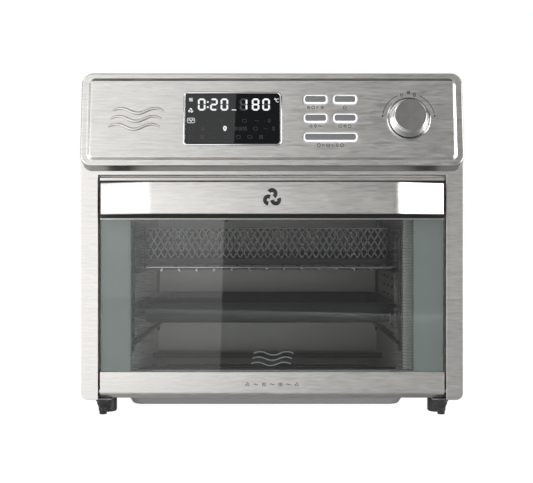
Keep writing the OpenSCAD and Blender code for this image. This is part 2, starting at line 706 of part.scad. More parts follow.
module back_screws() color("silver") placed() for (s = [-1, 1]) {
    for (z = [clear_h + 12, body_h / 2, body_h - 22]) back_screw(s * (half_w - 8), z);
    back_screw(s * half_w / 3, body_h - 10);
}
module back_screw(x, z) { bar_y(8, body_d, body_d + 2, x, z); }

gland_neck_d = 16;
// Strain-relief grommet of the mains inlet, with its open cord bore
module cord_gland() color("black") placed() difference() {
    union() {
        bar_y(gland_neck_d, body_d - 6, body_d + 0.5, gland_x, gland_z);
        bar_y(22, body_d, body_d + 3, gland_x, gland_z);
        bar_y(13, body_d + 2, body_d + 10, gland_x, gland_z);
        bar_y(20, body_d - 6, body_d - sheet, gland_x, gland_z);
    }
    bar_y(cord_bore, body_d - 8, body_d + 12, gland_x, gland_z);
}

module rear_spacers() color("black") placed() for (s = [-1, 1])
    translate([s * spacer_x, body_d, spacer_z]) rotate([-90, 0, 0]) rotate_extrude()
        polygon([[0, 0], [17, 0], [17, 2], [11, 3], [9, spacer_l - 1], [8, spacer_l], [0, spacer_l]]);

probe_d = 4;
probe_x = cavity_x - 54;
probe_z = cavity_top - 24;
module temperature_sensor() color("silver") placed() {
    bar_y(probe_d, cavity_back - 26, cavity_back + 14, probe_x, probe_z);
    bar_y(12, cavity_back + sheet, cavity_back + sheet + 4, probe_x, probe_z);
}

module thermal_cutout() color("black") placed() {
    bar_z(16, cavity_top + sheet, cavity_top + sheet + 6, probe_x, fan_y);
    for (s = [-1, 1]) translate([probe_x + s * 5, fan_y, cavity_top + sheet + 7]) cube([4, 1, 4],
        center = true);
}

runner_l = tray_y1 - 60;
// Two L rails under the base plate that carry the crumb tray's rim
module crumb_tray_runners() color("gray") placed() for (s = [-1, 1]) {
    x = tray_x + s * (tray_half + tray_rim + 1.3);
    slab([x - 0.7, tray_y0 + 30, clear_h - 3.2], [x + 0.7, tray_y0 + 30 + runner_l, clear_h]);
    xi = x - s * 1.8;
    slab([xi - 1.8, tray_y0 + 30, clear_h - 3.2], [xi + 1.8, tray_y0 + 30 + runner_l, clear_h - 2.2]);
}

// ---------- door ----------

module door_section(inset) {
    translate([inset, hinge_z]) square([door_t - 2 * inset, lower_trim_top - hinge_z + inset]);
    translate([hinge_y, hinge_z]) circle(door_t / 2 - inset);
}

// Steel channel along the door's lower edge, rounded about the hinge line
module door_bottom_trim() color("silver") placed() difference() {
    from_side(-door_half_w, 2 * door_half_w) difference() {
        door_section(0);
        door_section(sheet);
    }
    slab([-body_w, -1, lower_trim_top], [body_w, door_t + 1, body_h]);
}

module door_outer_glass() color("lightslategray", 0.4) placed() difference() {
    slab([-door_half_w + 0.2, glass_y, hinge_z + 8.5], [door_half_w - 0.2, glass_y + glass_t,
        door_top - sheet - 0.1]);
    for (s = [-1, 1], dz = [-1, 1]) bar_y(screw_d + 2, 0, 2 * glass_t, s * standoff_x, handle_z + dz * 9);
}

// Stamped frame behind the glass, with the window
module door_inner_frame() color("slategray") placed() difference() {
    z0 = hinge_z + 8.5;
    z1 = door_top - sheet - 0.2;
    w0 = lower_trim_top + 1.4;
    w1 = door_top - 36;
    slab([-door_half_w + 1, inner_y, z0], [door_half_w - 1, door_t - 1.2, z1]);
    difference() {
        slab([-door_half_w + 1 + skin, inner_y + skin, z0 + skin], [door_half_w - 1 - skin, door_t,
            z1 - skin]);
        slab([-window_half_w - skin, 0, w0 - skin], [window_half_w + skin, 2 * door_t, w1 + skin]);
    }
    slab([-window_half_w, -1, w0], [window_half_w, 2 * door_t, w1]);
    for (s = [-1, 1], dz = [-1, 1]) bar_y(screw_d + 0.4, 0, 2 * door_t, s * standoff_x, handle_z + dz * 9);
}

// Steel trim over the door's upper edge
module door_top_trim() color("silver") placed() difference() {
    union() {
        slab([-door_half_w, 0, door_top - top_trim_h], [door_half_w, sheet, door_top]);
        slab([-door_half_w, 0, door_top - sheet], [door_half_w, door_t, door_top]);
        slab([-door_half_w, door_t - sheet, door_top - 22], [door_half_w, door_t, door_top]);
    }
    for (s = [-1, 1], dz = [-1, 1]) {
        bar_y(screw_d + 0.4, -1, 4, s * standoff_x, handle_z + dz * 9);
        bar_y(screw_d + 5.4, door_t - 3, door_t + 1, s * standoff_x, handle_z + dz * 9);
    }
}

// Dark band behind the handle
module handle_rail() color("black") placed() difference() {
    slab([-door_half_w, -1, door_top - top_trim_h + 1.1], [door_half_w, 0, door_top - 2.6]);
    for (s = [-1, 1], dz = [-1, 1]) bar_y(screw_d + 0.4, -4, 4, s * standoff_x, handle_z + dz * 9);
}

// Bent steel strap: straight middle, both ends swept back to the door
module door_handle() color("silver") placed() {
    inner_flat = strap_flat - 0.6;
    outer = [[-strap_half_w, -strap_end_reach], [-strap_flat, -handle_reach],
        [strap_flat, -handle_reach], [strap_half_w, -strap_end_reach]];
    inner = [[strap_half_w, -strap_end_reach], [inner_flat, -handle_reach],
        [-inner_flat, -handle_reach], [-strap_half_w, -strap_end_reach]];
    translate([0, 0, handle_z - handle_h / 2]) linear_extrude(handle_h)
        polygon(concat(outer, [for (p = inner) p + [0, strap_t]]));
}

// Where the strap's swept end lies at x, measured from the door's front
function strap_back(x) = strap_t + 0.2 - strap_end_reach
    - (handle_reach - strap_end_reach) / (strap_half_w - strap_flat) * (strap_half_w - x);

// Blocks between the strap's ends and the door, with the screws' bores
module handle_standoffs() color("black") placed() for (s = [-1, 1]) difference() {
    block_h = handle_h - 4;
    x0 = door_half_w - 30;
    x1 = strap_half_w - 1;
    translate([0, 0, handle_z - block_h / 2]) linear_extrude(block_h)
        polygon([[s * x0, -1], [s * x1, -1], [s * x1, strap_back(x1)], [s * x0, strap_back(x0)]]);
    for (dz = [-1, 1]) bar_y(screw_d, -12, 1, s * standoff_x, handle_z + dz * 9);
}

module handle_screws() color("silver") placed() for (s = [-1, 1], dz = [-1, 1]) {
    bar_y(screw_d - 0.02, -11.5, door_t - 3, s * standoff_x, handle_z + dz * 9);
    bar_y(8, inner_y + skin, inner_y + skin + 2.4, s * standoff_x, handle_z + dz * 9);
}

module hinge_blocks() color("dimgray") placed() for (s = [-1, 1]) difference() {
    from_side(s > 0 ? door_half_w - 22 : -door_half_w, 22) intersection() {
        door_section(sheet + 0.02);
        translate([0, door_bottom]) square([door_t, hinge_z + 8.3 - door_bottom]);
    }
    bar_x(pin_d, -body_w, body_w, hinge_y, hinge_z);
}

// Hinge pins, each with the spacer that shows between the door and the post
module hinge_pins() color("dimgray") placed() for (s = [-1, 1]) {
    x0 = door_half_w - 21;
    x1 = bracket_x + 3.2 + spring_turns * 1.8 + 1.6;
    bar_x(pin_d - 0.01, s > 0 ? x0 : -x1, s > 0 ? x1 : -x0, hinge_y, hinge_z);
    bar_x(pin_d + 2, s > 0 ? door_half_w : -open_half_w + 0.3, s > 0 ? open_half_w - 0.3 : -door_half_w,
        hinge_y, hinge_z);
}

// ---------- loose pieces ----------

rack_foot = 9;           // length of a stop loop's peg
peg_wire = 2;
peg_in = 2;              // from a stop loop's inner end to its peg
stop_loop_x = rack_half_w - 40;
stop_ys = [rack_y1 - 26, rack_y1 - 14];
stop_bar_drop = 0.6;     // a stop loop's bar, below the middle of the frame wire
cross_over = [4, 3];     // cross wires past the frame, in front and behind
cross_weld = 0.4;        // how far cross wires and frame wire melt into each other
// Wire frame with round corners, cross wires welded underneath and two stop loops behind
module wire_rack() color("silver") placed() {
    x0 = cavity_x - rack_half_w + rack_wire / 2;
    x1 = cavity_x + rack_half_w - rack_wire / 2;
    bar_x(rack_wire, x0 + rack_corner, x1 - rack_corner, rack_y0, rack_z);
    bar_x(rack_wire, x0 + rack_corner, x1 - rack_corner, rack_y1, rack_z);
    for (x = [x0, x1]) bar_y(rack_wire, rack_y0 + rack_corner, rack_y1 - rack_corner, x, rack_z);
    corners = [[x1, rack_y1, 0], [x0, rack_y1, 90], [x0, rack_y0, 180], [x1, rack_y0, 270]];
    for (c = corners) translate([c[0], c[1], rack_z]) rotate(c[2]) translate([-rack_corner, -rack_corner, 0])
        rotate_extrude(angle = 90) translate([rack_corner, 0]) circle(rack_wire / 2);
    for (i = [0 : cross_wires - 1])
        bar_y(cross_wire, rack_y0 - cross_over[0], rack_y1 + cross_over[1],
            cavity_x + (i - (cross_wires - 1) / 2) * cross_pitch,
            rack_z - (rack_wire + cross_wire) / 2 + cross_weld);
    for (s = [-1, 1], y = stop_ys) {
        bar_z(peg_wire, rack_z - rack_foot, rack_z - stop_bar_drop,
            cavity_x + s * (stop_loop_x + peg_in), y);
        bar_x(cross_wire, cavity_x + (s > 0 ? stop_loop_x : -rack_half_w + rack_wire / 2),
            cavity_x + (s > 0 ? rack_half_w - rack_wire / 2 : -stop_loop_x), y, rack_z - stop_bar_drop);
    }
}

// Open basket; its walls stand for the expanded metal
module crisper_basket() color("silver") placed() difference() {
    depth = basket_y1 - basket_y0;
    translate([cavity_x, (basket_y0 + basket_y1) / 2, basket_z])
        linear_extrude(basket_h) rounded(basket_w, depth, 12);
    translate([cavity_x, (basket_y0 + basket_y1) / 2, basket_z + basket_wall])
        linear_extrude(basket_h) rounded(basket_w - 2 * basket_wall, depth - 2 * basket_wall,
            12 - basket_wall);
}

pan_wall = 1;
module baking_pan() color("dimgray") placed() {
    depth = pan_y1 - pan_y0;
    mid = (pan_y0 + pan_y1) / 2;
    difference() {
        translate([cavity_x, mid, pan_rim_z - pan_h]) linear_extrude(pan_h + 1) rounded(2 * pan_half,
            depth - 12, 16);
        translate([cavity_x, mid, pan_rim_z - pan_h + pan_wall]) linear_extrude(pan_h + 1)
            rounded(2 * (pan_half - pan_wall), depth - 12 - 2 * pan_wall, 15);
    }
    difference() {
        translate([cavity_x, mid, pan_rim_z]) linear_extrude(1.2) rounded(2 * pan_rim_half, depth, 22);
        translate([cavity_x, mid, pan_rim_z - 1]) linear_extrude(4) rounded(2 * (pan_half - pan_wall),
            depth - 12 - 2 * pan_wall, 15);
    }
}

// A tapered tray shape between two heights, drawn smaller by the given wall
module tray_shape(wall) hull($fn = hull_fn) {
    depth = tray_y1 - tray_y0;
    mid = (tray_y0 + tray_y1) / 2;
    translate([tray_x, mid, tray_z + wall]) linear_extrude(0.01)
        rounded(2 * (tray_half - tray_draft - wall), depth - 2 * (tray_draft + wall), 16, $fn = hull_fn);
    translate([tray_x, mid, tray_z + tray_h]) linear_extrude(0.01)
        rounded(2 * (tray_half - wall), depth - 2 * wall, 20, $fn = hull_fn);
}
module crumb_tray() color("gray") placed() {
    difference() {
        tray_shape(0);
        tray_shape(1);
    }
    for (s = [-1, 1]) translate([tray_x + s * (tray_half + tray_rim / 2 - 0.6), (tray_y0 + tray_y1) / 2,
        tray_z + tray_h - 0.8])
        linear_extrude(0.8) square([tray_rim + 1, tray_y1 - tray_y0 - 44], center = true);
}

// ---------- the oven ----------

front_frame();
outer_wrapper();
back_panel();
base_plate();
oven_cavity();
rack_rails_left();
rack_rails_right();
upper_heating_elements();
lower_heating_elements();
element_end_caps();
fan_guard();
fan_housing();
fan_motor();
fan_motor_standoffs();
fan_rotor();
lamp_lens();
lamp_bulb();
lamp_holder();
heat_shield();
control_fascia();
display_bezel();
display_window();
control_board();
knob_ring();
encoder();
encoder_shaft();
power_board();
hinge_brackets();
door_springs();
front_stop_feet();
round_feet();
foot_screws();
back_screws();
cord_gland();
rear_spacers();
temperature_sensor();
thermal_cutout();
door_seal();
crumb_tray_runners();
door_outer_glass();
door_inner_frame();
door_bottom_trim();
door_top_trim();
handle_rail();
door_handle();
handle_standoffs();
handle_screws();
hinge_blocks();
hinge_pins();
wire_rack();
crisper_basket();
baking_pan();
crumb_tray();
knob_body();
knob_cap();
preheat_button();
light_button();
air_fry_button();
oven_button();
start_button();
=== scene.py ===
"""Looks of a countertop toaster oven: its pressed, turned, printed and woven pieces, finishes and studio.

Lengths in the pieces are millimetres. Pieces are placed from the cabinet's front plane or on the sloping
control panel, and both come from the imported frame.
"""

import json

import bmesh
import bpy
import numpy as np
from bpy.props import FloatProperty, FloatVectorProperty, IntProperty, PointerProperty
from mathutils import Matrix, Vector
from mathutils.geometry import tessellate_polygon


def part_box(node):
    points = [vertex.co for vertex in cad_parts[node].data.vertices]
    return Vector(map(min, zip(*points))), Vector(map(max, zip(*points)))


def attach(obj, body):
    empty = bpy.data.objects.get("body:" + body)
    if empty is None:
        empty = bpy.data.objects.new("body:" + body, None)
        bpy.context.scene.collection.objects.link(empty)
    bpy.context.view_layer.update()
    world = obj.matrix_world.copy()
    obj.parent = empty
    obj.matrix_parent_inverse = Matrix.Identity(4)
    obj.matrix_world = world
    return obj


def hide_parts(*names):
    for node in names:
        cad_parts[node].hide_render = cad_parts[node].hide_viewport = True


bl_info = {
    "name": "Toaster Oven",
    "version": (1, 0, 0),
    "blender": (4, 5, 0),
    "location": "View3D > Sidebar > Toaster Oven",
    "description": "Builds the visual pieces, finishes and studio of a countertop toaster oven",
    "category": "Object",
}

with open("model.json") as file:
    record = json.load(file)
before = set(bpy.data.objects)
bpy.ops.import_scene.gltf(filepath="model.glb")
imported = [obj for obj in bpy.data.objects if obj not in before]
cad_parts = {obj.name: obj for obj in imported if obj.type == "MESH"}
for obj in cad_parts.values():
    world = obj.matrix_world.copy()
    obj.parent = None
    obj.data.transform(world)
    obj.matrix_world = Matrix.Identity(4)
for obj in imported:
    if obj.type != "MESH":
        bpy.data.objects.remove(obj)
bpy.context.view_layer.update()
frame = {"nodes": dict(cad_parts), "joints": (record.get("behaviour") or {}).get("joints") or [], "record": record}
NODES = frame["nodes"]
JOINTS = {joint["name"]: joint for joint in frame["joints"]}

MM = 0.001
FRONT_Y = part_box("front_frame")[0].y
PANEL_OUT = np.array(JOINTS["knob_turn"]["axis"])
PANEL_UP = np.array([0.0, PANEL_OUT[2], -PANEL_OUT[1]])
PANEL_MID = np.array(JOINTS["knob_turn"]["pos_m"]) * [0, 1, 1]
FIELD_RISE = 2.0


# ---------- places ----------


def at_front(points):
    """Row-frame place of points (x across, y back from the front plane, z up)."""
    return np.asarray(points, float) * MM + [0, FRONT_Y, 0]


def on_panel(points):
    """Row-frame place of points (x across, v up the slope from its middle line, w out of the panel)."""
    x, v, w = np.moveaxis(np.asarray(points, float) * MM, -1, 0)[..., None]
    return PANEL_MID + x * [1, 0, 0] + v * PANEL_UP + w * PANEL_OUT


def corners_of(node):
    """Every vertex of a CAD node, in metres."""
    mesh = NODES[node].data
    spots = np.zeros(len(mesh.vertices) * 3, np.float32)
    mesh.vertices.foreach_get("co", spots)
    return spots.reshape(-1, 3)


def panel_box(node):
    """Lowest and highest (x, v, w) of a CAD node, measured along the panel's own axes."""
    local = (corners_of(node) - PANEL_MID) @ np.array([[1, 0, 0], PANEL_UP, PANEL_OUT]).T / MM
    return local.min(0), local.max(0)


def panel_spot(node):
    """Middle (x, v) of a CAD node on the panel."""
    low, high = panel_box(node)
    return (low + high)[:2] / 2


def at_spot(points, node):
    """Places points that are measured from the middle of a CAD node on the panel."""
    return on_panel(points + [*panel_spot(node), 0])


def front_box(node):
    """Lowest and highest corner of a CAD node in millimetres, with y from the front plane."""
    low, high = (np.array(corner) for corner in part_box(node))
    return (low - [0, FRONT_Y, 0]) / MM, (high - [0, FRONT_Y, 0]) / MM


# ---------- shapes ----------


def eased(corners, radius, steps=4, closed=False):
    """A path with its corners rounded: between the points one radius before and after each corner runs
    the curve (1-t)^2 a + 2t(1-t) corner + t^2 b."""
    corner = np.asarray(corners, float)

    def toward(other):
        """Points one radius from each corner toward another point, or nearly half way where that is less."""
        gap = other - corner
        length = np.linalg.norm(gap, axis=1, keepdims=True)
        return corner + gap * np.minimum(radius, 0.45 * length) / np.maximum(length, 1e-9)

    a, b = toward(np.roll(corner, 1, 0)), toward(np.roll(corner, -1, 0))
    t = np.linspace(0, 1, steps + 1)[None, :, None]
    curve = (1 - t) ** 2 * a[:, None] + 2 * t * (1 - t) * corner[:, None] + t**2 * b[:, None]
    if closed:
        return curve.reshape(-1, corner.shape[1])
    return np.concatenate([corner[:1], curve[1:-1].reshape(-1, corner.shape[1]), corner[-1:]])


def rounded_loops(width, height, radius, profile, steps=8):
    """A rounded rectangle carried along a profile of (offset, depth): every corner arc keeps its centre while
    its radius grows by the offset. Rows follow the profile, columns run anticlockwise."""
    angle = (np.arange(4)[:, None] * np.pi / 2 + np.linspace(0, np.pi / 2, steps + 1)).ravel()
    side_x = np.repeat([1, -1, -1, 1], steps + 1)
    side_y = np.repeat([1, 1, -1, -1], steps + 1)
    centre = np.stack([side_x * (width / 2 - radius), side_y * (height / 2 - radius)], -1)
    normal = np.stack([np.cos(angle), np.sin(angle)], -1)
    offset, depth = np.array(profile, float).T
    flat = centre + (radius + offset)[:, None, None] * normal
    return np.concatenate([flat, np.broadcast_to(depth[:, None, None], flat.shape[:2] + (1,))], -1)


def turned(profile, steps=96):
    """A turned shape: each (radius, height) of the profile carried round as (r cos a, r sin a, h)."""
    angle = np.linspace(0, 2 * np.pi, steps, endpoint=False)
    radius, height = np.array(profile, float).T[..., None]
    return np.stack([radius * np.cos(angle), radius * np.sin(angle), height + 0 * angle], -1)


def quads(grid, loop_rows=False, loop_cols=True):
    """Faces of a grid of points: each joins a point, its neighbour in the row, and the same two a row on."""
    rows, cols = grid.shape[:2]
    row = np.arange(rows if loop_rows else rows - 1)[:, None]
    col = np.arange(cols if loop_cols else cols - 1)[None, :]
    here, beyond = row * cols, (row + 1) % rows * cols
    right = (col + 1) % cols
    faces = np.stack([here + col, here + right, beyond + right, beyond + col], -1)
    return faces.reshape(-1, 4).tolist()


def capped(grid):
    """Faces of a grid whose first and last rows are shut by one flat face each."""
    rows, cols = grid.shape[:2]
    return quads(grid) + [list(range(first, first + cols)) for first in (0, (rows - 1) * cols)]


def headings(path):
    """Unit direction of travel at each point of a path."""
    along = np.gradient(path, axis=0)
    return along / np.linalg.norm(along, axis=1, keepdims=True)


def ribbon(path, width):
    """A flat stroke: every point of the path moved half the width to either side, square to its direction."""
    along = headings(path)
    side = np.stack([-along[:, 1], along[:, 0]], -1) * width / 2
    return np.stack([path + side, path - side], 1)


def ridge(path, width, height, sides=12):
    """An embossed stroke: an ellipse of the given width and height round each point of a flat path."""
    along = headings(path)
    side = np.stack([-along[:, 1], along[:, 0], 0 * along[:, 0]], -1)
    angle = np.linspace(0, 2 * np.pi, sides, endpoint=False)[:, None]
    taper = np.sin(np.linspace(0.12, np.pi - 0.12, len(path)))[:, None, None] ** 0.3
    middle = np.concatenate([path, 0 * path[:, :1]], -1)[:, None]
    swell = side[:, None] * np.cos(angle) * width / 2 + [0, 0, 1] * np.sin(angle) * height
    return middle + taper * swell


def strands(start, end, outward, width, thickness):
    """Flat bars from start to end: eight corners each, half the width along direction x outward and half
    the thickness along outward. Returns the points and faces of all bars."""
    along = end - start
    along /= np.linalg.norm(along, axis=1, keepdims=True)
    across = np.cross(along, outward) * width / 2
    out = outward * thickness / 2
    ring = np.stack([across + out, across - out, -across - out, -across + out], 1)
    points = np.concatenate([start[:, None] + ring, end[:, None] + ring], 1)
    bar = np.array([[0, 1, 5, 4], [1, 2, 6, 5], [2, 3, 7, 6], [3, 0, 4, 7], [3, 2, 1, 0], [4, 5, 6, 7]])
    faces = (np.arange(len(start))[:, None, None] * 8 + bar).reshape(-1, 4)
    return points.reshape(-1, 3), faces.tolist()


def joined(parts):
    """Points and faces of several (points, faces) parts as one."""
    points, faces, first = [], [], 0
    for part_points, part_faces in parts:
        points.append(np.reshape(part_points, (-1, 3)))
        faces += [[index + first for index in face] for face in part_faces]
        first += len(points[-1])
    return np.concatenate(points), faces


def plate(outline, holes, depth):
    """A flat plate with holes: the area between the loops is filled by triangles, all at one depth."""
    loops = [np.asarray(loop, float)[:, :2] for loop in [outline, *holes]]
    triangles = tessellate_polygon([[Vector((x, y, 0)) for x, y in loop] for loop in loops])
    flat = np.concatenate(loops)
    return np.column_stack([flat, np.full(len(flat), depth)]), [list(t) for t in triangles]


# ---------- pieces ----------


def linked(name, data):
    """A new object at the origin, in the scene."""
    obj = bpy.data.objects.new(name, data)
    bpy.context.scene.collection.objects.link(obj)
    return obj


def piece(name, points, faces, finish, body="cabinet", stands_for=(), crease=35, weld=True):
    """Makes a mesh object that rides on a body, faces outwards, and takes a finish."""
    mesh = bpy.data.meshes.new(name)
    mesh.from_pydata(np.reshape(points, (-1, 3)).tolist(), [], faces)
    shape = bmesh.new()
    shape.from_mesh(mesh)
    if weld:
        bmesh.ops.remove_doubles(shape, verts=shape.verts, dist=2e-6)
        bmesh.ops.dissolve_degenerate(shape, edges=shape.edges, dist=1e-7)
    bmesh.ops.recalc_face_normals(shape, faces=shape.faces)
    shape.to_mesh(mesh)
    shape.free()
    return dressed(linked(name, mesh), finish, body, stands_for, crease)


def dressed(obj, finish, body, stands_for, crease):
    """Shades an object smooth up to the crease angle, gives it its finish and body, and hides the CAD nodes it
    stands for.
    """
    obj.data.shade_smooth()
    obj.data.set_sharp_from_angle(angle=np.radians(crease))
    obj.data.materials.clear()
    obj.data.materials.append(material(finish))
    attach(obj, body)
    if stands_for:
        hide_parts(*stands_for)
    return obj


def softened(node, finish, body, radius, crease=35):
    """A welded copy of a CAD node, its sharp edges rounded by a live Bevel; the radius is in millimetres."""
    mesh = NODES[node].data.copy()
    shape = bmesh.new()
    shape.from_mesh(mesh)
    bmesh.ops.remove_doubles(shape, verts=shape.verts, dist=1e-6)
    bmesh.ops.dissolve_limit(shape, angle_limit=np.radians(1), verts=shape.verts, edges=shape.edges)
    shape.to_mesh(mesh)
    shape.free()
    obj = dressed(linked(node + "_finished", mesh), finish, body, [node], crease)
    bevel = obj.modifiers.new("rounded edges", "BEVEL")
    bevel.width = radius * MM
    bevel.segments = 3
    bevel.limit_method = "ANGLE"
    bevel.angle_limit = np.radians(40)
    bevel.harden_normals = True
    return obj


def walled(obj, thickness):
    """Gives an open sheet its thickness, inwards from its outer face."""
    wall = obj.modifiers.new("sheet thickness", "SOLIDIFY")
    wall.thickness = thickness * MM
    wall.offset = -1
    wall.use_even_offset = True
    return obj


# ---------- finishes ----------


def linear(hex_colour):
    """Linear red, green and blue of an sRGB hex value."""
    srgb = np.array([int(hex_colour[i : i + 2], 16) for i in (0, 2, 4)]) / 255
    return tuple(np.where(srgb <= 0.04045, srgb / 12.92, ((srgb + 0.055) / 1.055) ** 2.4))


def feed(node, inputs):
    """Gives a node's inputs values or links; a node given as a value links its first output."""
    for key, value in inputs.items():
        if isinstance(value, bpy.types.Node):
            value = value.outputs[0]
        if isinstance(value, bpy.types.NodeSocket):
            node.id_data.links.new(value, node.inputs[key])
        else:
            node.inputs[key].default_value = value


def add(tree, kind, inputs=(), **settings):
    """Adds one node, sets its properties, and gives its inputs values or links."""
    node = tree.nodes.new("ShaderNode" + kind)
    for name, value in settings.items():
        setattr(node, name, value)
    feed(node, dict(inputs))
    return node


def bare_tree(owner):
    """The node tree of a material or world, switched on and emptied."""
    owner.use_nodes = True
    owner.node_tree.nodes.clear()
    return owner.node_tree


def blank(name):
    """An empty material: its tree, its object coordinates in metres, and the Principled shader it shows."""
    tree = bare_tree(bpy.data.materials.new(name))
    place = add(tree, "TexCoord").outputs["Object"]
    shader = add(tree, "BsdfPrincipled")
    add(tree, "OutputMaterial", {"Surface": shader})
    return tree, place, shader


def varied(tree, factor, colour, spread):
    """A colour that runs from darker to lighter by the spread as the factor goes from 0 to 1."""
    low = (*np.array(colour) * (1 - spread), 1)
    high = (*np.minimum(np.array(colour) * (1 + spread), 1), 1)
    return add(tree, "Mix", {0: factor, 6: low, 7: high}, data_type="RGBA").outputs[2]


def brushed(name, colour, roughness, spread, fine, long, bump):
    """Abrasive-belt grain: noise drawn out along X and slightly wavy. fine is the spacing across the grain
    and long its length, in millimetres; colour, roughness and height all follow it."""
    tree, place, shader = blank(name)
    squeeze = (1 / (long * MM), 1 / (fine * MM), 1 / (fine * MM))
    stretch = add(tree, "Mapping", {"Vector": place, "Scale": squeeze})
    noise = {"Vector": stretch, "Scale": 1.0, "Detail": 3.0, "Roughness": 0.6, "Distortion": 0.7}
    grain = add(tree, "TexNoise", noise)
    streak = add(tree, "MapRange", {0: grain, 1: 0.32, 2: 0.68})
    rough = add(tree, "MapRange", {0: streak, 3: roughness - SWING, 4: roughness + SWING})
    height = add(tree, "Bump", {"Strength": 0.25, "Distance": bump * MM, "Height": grain})
    feed(shader, {"Base Color": varied(tree, streak, colour, spread),
                  "Roughness": rough, "Normal": height, "Metallic": 1.0})


def grained(name, colour, roughness, spread, grain_size, bump, metallic=0.0, coat=0.0):
    """Fine even texture: noise of one grain size in millimetres over colour, roughness and height, with a
    second, thirty times wider, that clouds the colour as handling does."""
    tree, place, shader = blank(name)
    fine = add(tree, "TexNoise", {"Vector": place, "Scale": 1 / (grain_size * MM), "Detail": 2.0})
    wide = add(tree, "TexNoise", {"Vector": place, "Scale": 1 / (30 * grain_size * MM), "Detail": 2.0})
    both = add(tree, "Math", {0: fine, 1: wide, 2: 0.25}, operation="MULTIPLY_ADD")
    rough = add(tree, "MapRange", {0: wide, 1: 0.3, 2: 0.7,
                                   3: roughness - SWING, 4: roughness + SWING})
    height = add(tree, "Bump", {"Strength": 0.3, "Distance": bump * MM, "Height": fine})
    feed(shader, {"Base Color": varied(tree, both, colour, spread),
                  "Roughness": rough, "Normal": height,
                  "Metallic": metallic, "Coat Weight": coat, "Coat Roughness": 0.05})
    return tree, place, shader


def clear_glass(name, colour, roughness):
    """Flat glass: lamps pass straight through it, and its tint drifts over about 60 mm."""
    tree, place, shader = blank(name)
    wave = add(tree, "TexNoise", {"Vector": place, "Scale": 1 / (60 * MM), "Detail": 0.0})
    feed(shader, {"Base Color": varied(tree, wave, colour, 0.02), "Roughness": roughness,
                  "Transmission Weight": 1.0, "IOR": 1.5})
    lamp_ray = add(tree, "LightPath").outputs["Is Shadow Ray"]
    through = add(tree, "BsdfTransparent", {"Color": (*colour, 1)})
    mix = add(tree, "MixShader", {0: lamp_ray, 1: shader, 2: through})
    feed(tree.nodes["Material Output"], {"Surface": mix})


def glowing(name, colour):
    """A flat emitting ink whose brightness wanders a few per cent over 20 mm."""
    tree, place, shader = blank(name)
    cloud = add(tree, "TexNoise", {"Vector": place, "Scale": 1 / (20 * MM), "Detail": 1.0})
    feed(shader, {"Emission Color": varied(tree, cloud, colour, 0.05), "Emission Strength": 1.0,
                  "Base Color": (0, 0, 0, 1), "Roughness": 0.4})


SWING = 0.05
FINISHES = {}


def takes_slot(slot):
    """Lists the finish function that follows, with the record's material slot that it belongs to."""

    def listed(make):
        """Keeps the function under its own name, which its material takes too."""
        FINISHES[make.__name__] = (slot, make)
        return make

    return listed


def material(finish):
    """The finish's material, made the first time it is asked for."""
    if finish not in bpy.data.materials:
        FINISHES[finish][1](finish)
    return bpy.data.materials[finish]


@takes_slot("brushed_stainless")
def brushed_430_stainless(name):
    """430 stainless, belt brushed: a warm light grey with wavy streaks two millimetres apart, coarser than
    the real grain so that they show, and a broad soft shine."""
    brushed(name, bpy.context.scene.oven_colours.stainless, 0.36, 0.11, 2.1, 20.0, 0.06)


@takes_slot("wrapper_steel")
def satin_wrapper_steel(name):
    """Satin 430 sheet of the side and top wrapper: finer streaks and a duller shine than the front."""
    brushed(name, bpy.context.scene.oven_colours.wrapper, 0.42, 0.05, 1.4, 22.0, 0.03)


@takes_slot("zinc_sheet")
def zinc_plated_sheet(name):
    """Galvanised sheet: grey with pale and dark spangles about 6 mm wide."""
    tree, place, shader = blank(name)
    spangle = add(tree, "TexVoronoi", {"Vector": place, "Scale": 1 / (6 * MM)})
    tone = add(tree, "SeparateColor", {"Color": spangle.outputs["Color"]})
    rough = add(tree, "MapRange", {0: tone.outputs[1], 3: 0.38, 4: 0.55})
    feed(shader, {"Base Color": varied(tree, tone.outputs[0], linear("9A9C9D"), 0.16),
                  "Roughness": rough, "Metallic": 0.9})


@takes_slot("cavity_steel")
def aluminised_steel(name):
    """Hot-dipped aluminium-silicon on the liner: matt silver with a faint mottle, heat-stained darker."""
    grained(name, bpy.context.scene.oven_colours.liner, 0.5, 0.18, 1.2, 0.05, metallic=0.4)


@takes_slot("chromed_wire")
def chromed_wire(name):
    """Bright chrome over drawn wire: a clear mirror broken only by slight waviness."""
    grained(name, linear("D6D8DA"), 0.14, 0.04, 3.0, 0.03, metallic=1.0)


@takes_slot("chromed_wire")
def dulled_wire(name):
    """Side rails: the same wire after use, its chrome browned and dull from the heat."""
    grained(name, linear("5A5856"), 0.45, 0.15, 3.0, 0.03, metallic=0.9)


@takes_slot("element_sheath")
def oxidised_incoloy(name):
    """Nickel-iron heater sheath, oxidised: dark grey-brown, chalky."""
    grained(name, linear("4A4644"), 0.62, 0.2, 0.8, 0.06, metallic=0.5)


@takes_slot("ceramic_insulator")
def steatite(name):
    """Steatite insulator: off-white fired ceramic, unglazed and slightly speckled."""
    grained(name, linear("E6E1D4"), 0.6, 0.06, 0.5, 0.04)


@takes_slot("motor_metal")
def mill_aluminium(name):
    """Mill-finish aluminium: pale grey with rolling lines."""
    brushed(name, linear("B4B6B8"), 0.34, 0.06, 0.8, 18.0, 0.02)


@takes_slot("lamp_glass")
def lamp_lens_glass(name):
    """Borosilicate lens over the cavity lamp: clear, slightly frosted by pressing."""
    clear_glass(name, linear("E9F0EF"), 0.08)


@takes_slot("bright_trim")
def polished_chrome(name):
    """Decorative chrome on ABS: a near mirror, faintly orange-peeled."""
    grained(name, linear("E9EAEB"), 0.055, 0.03, 1.5, 0.002, metallic=1.0)


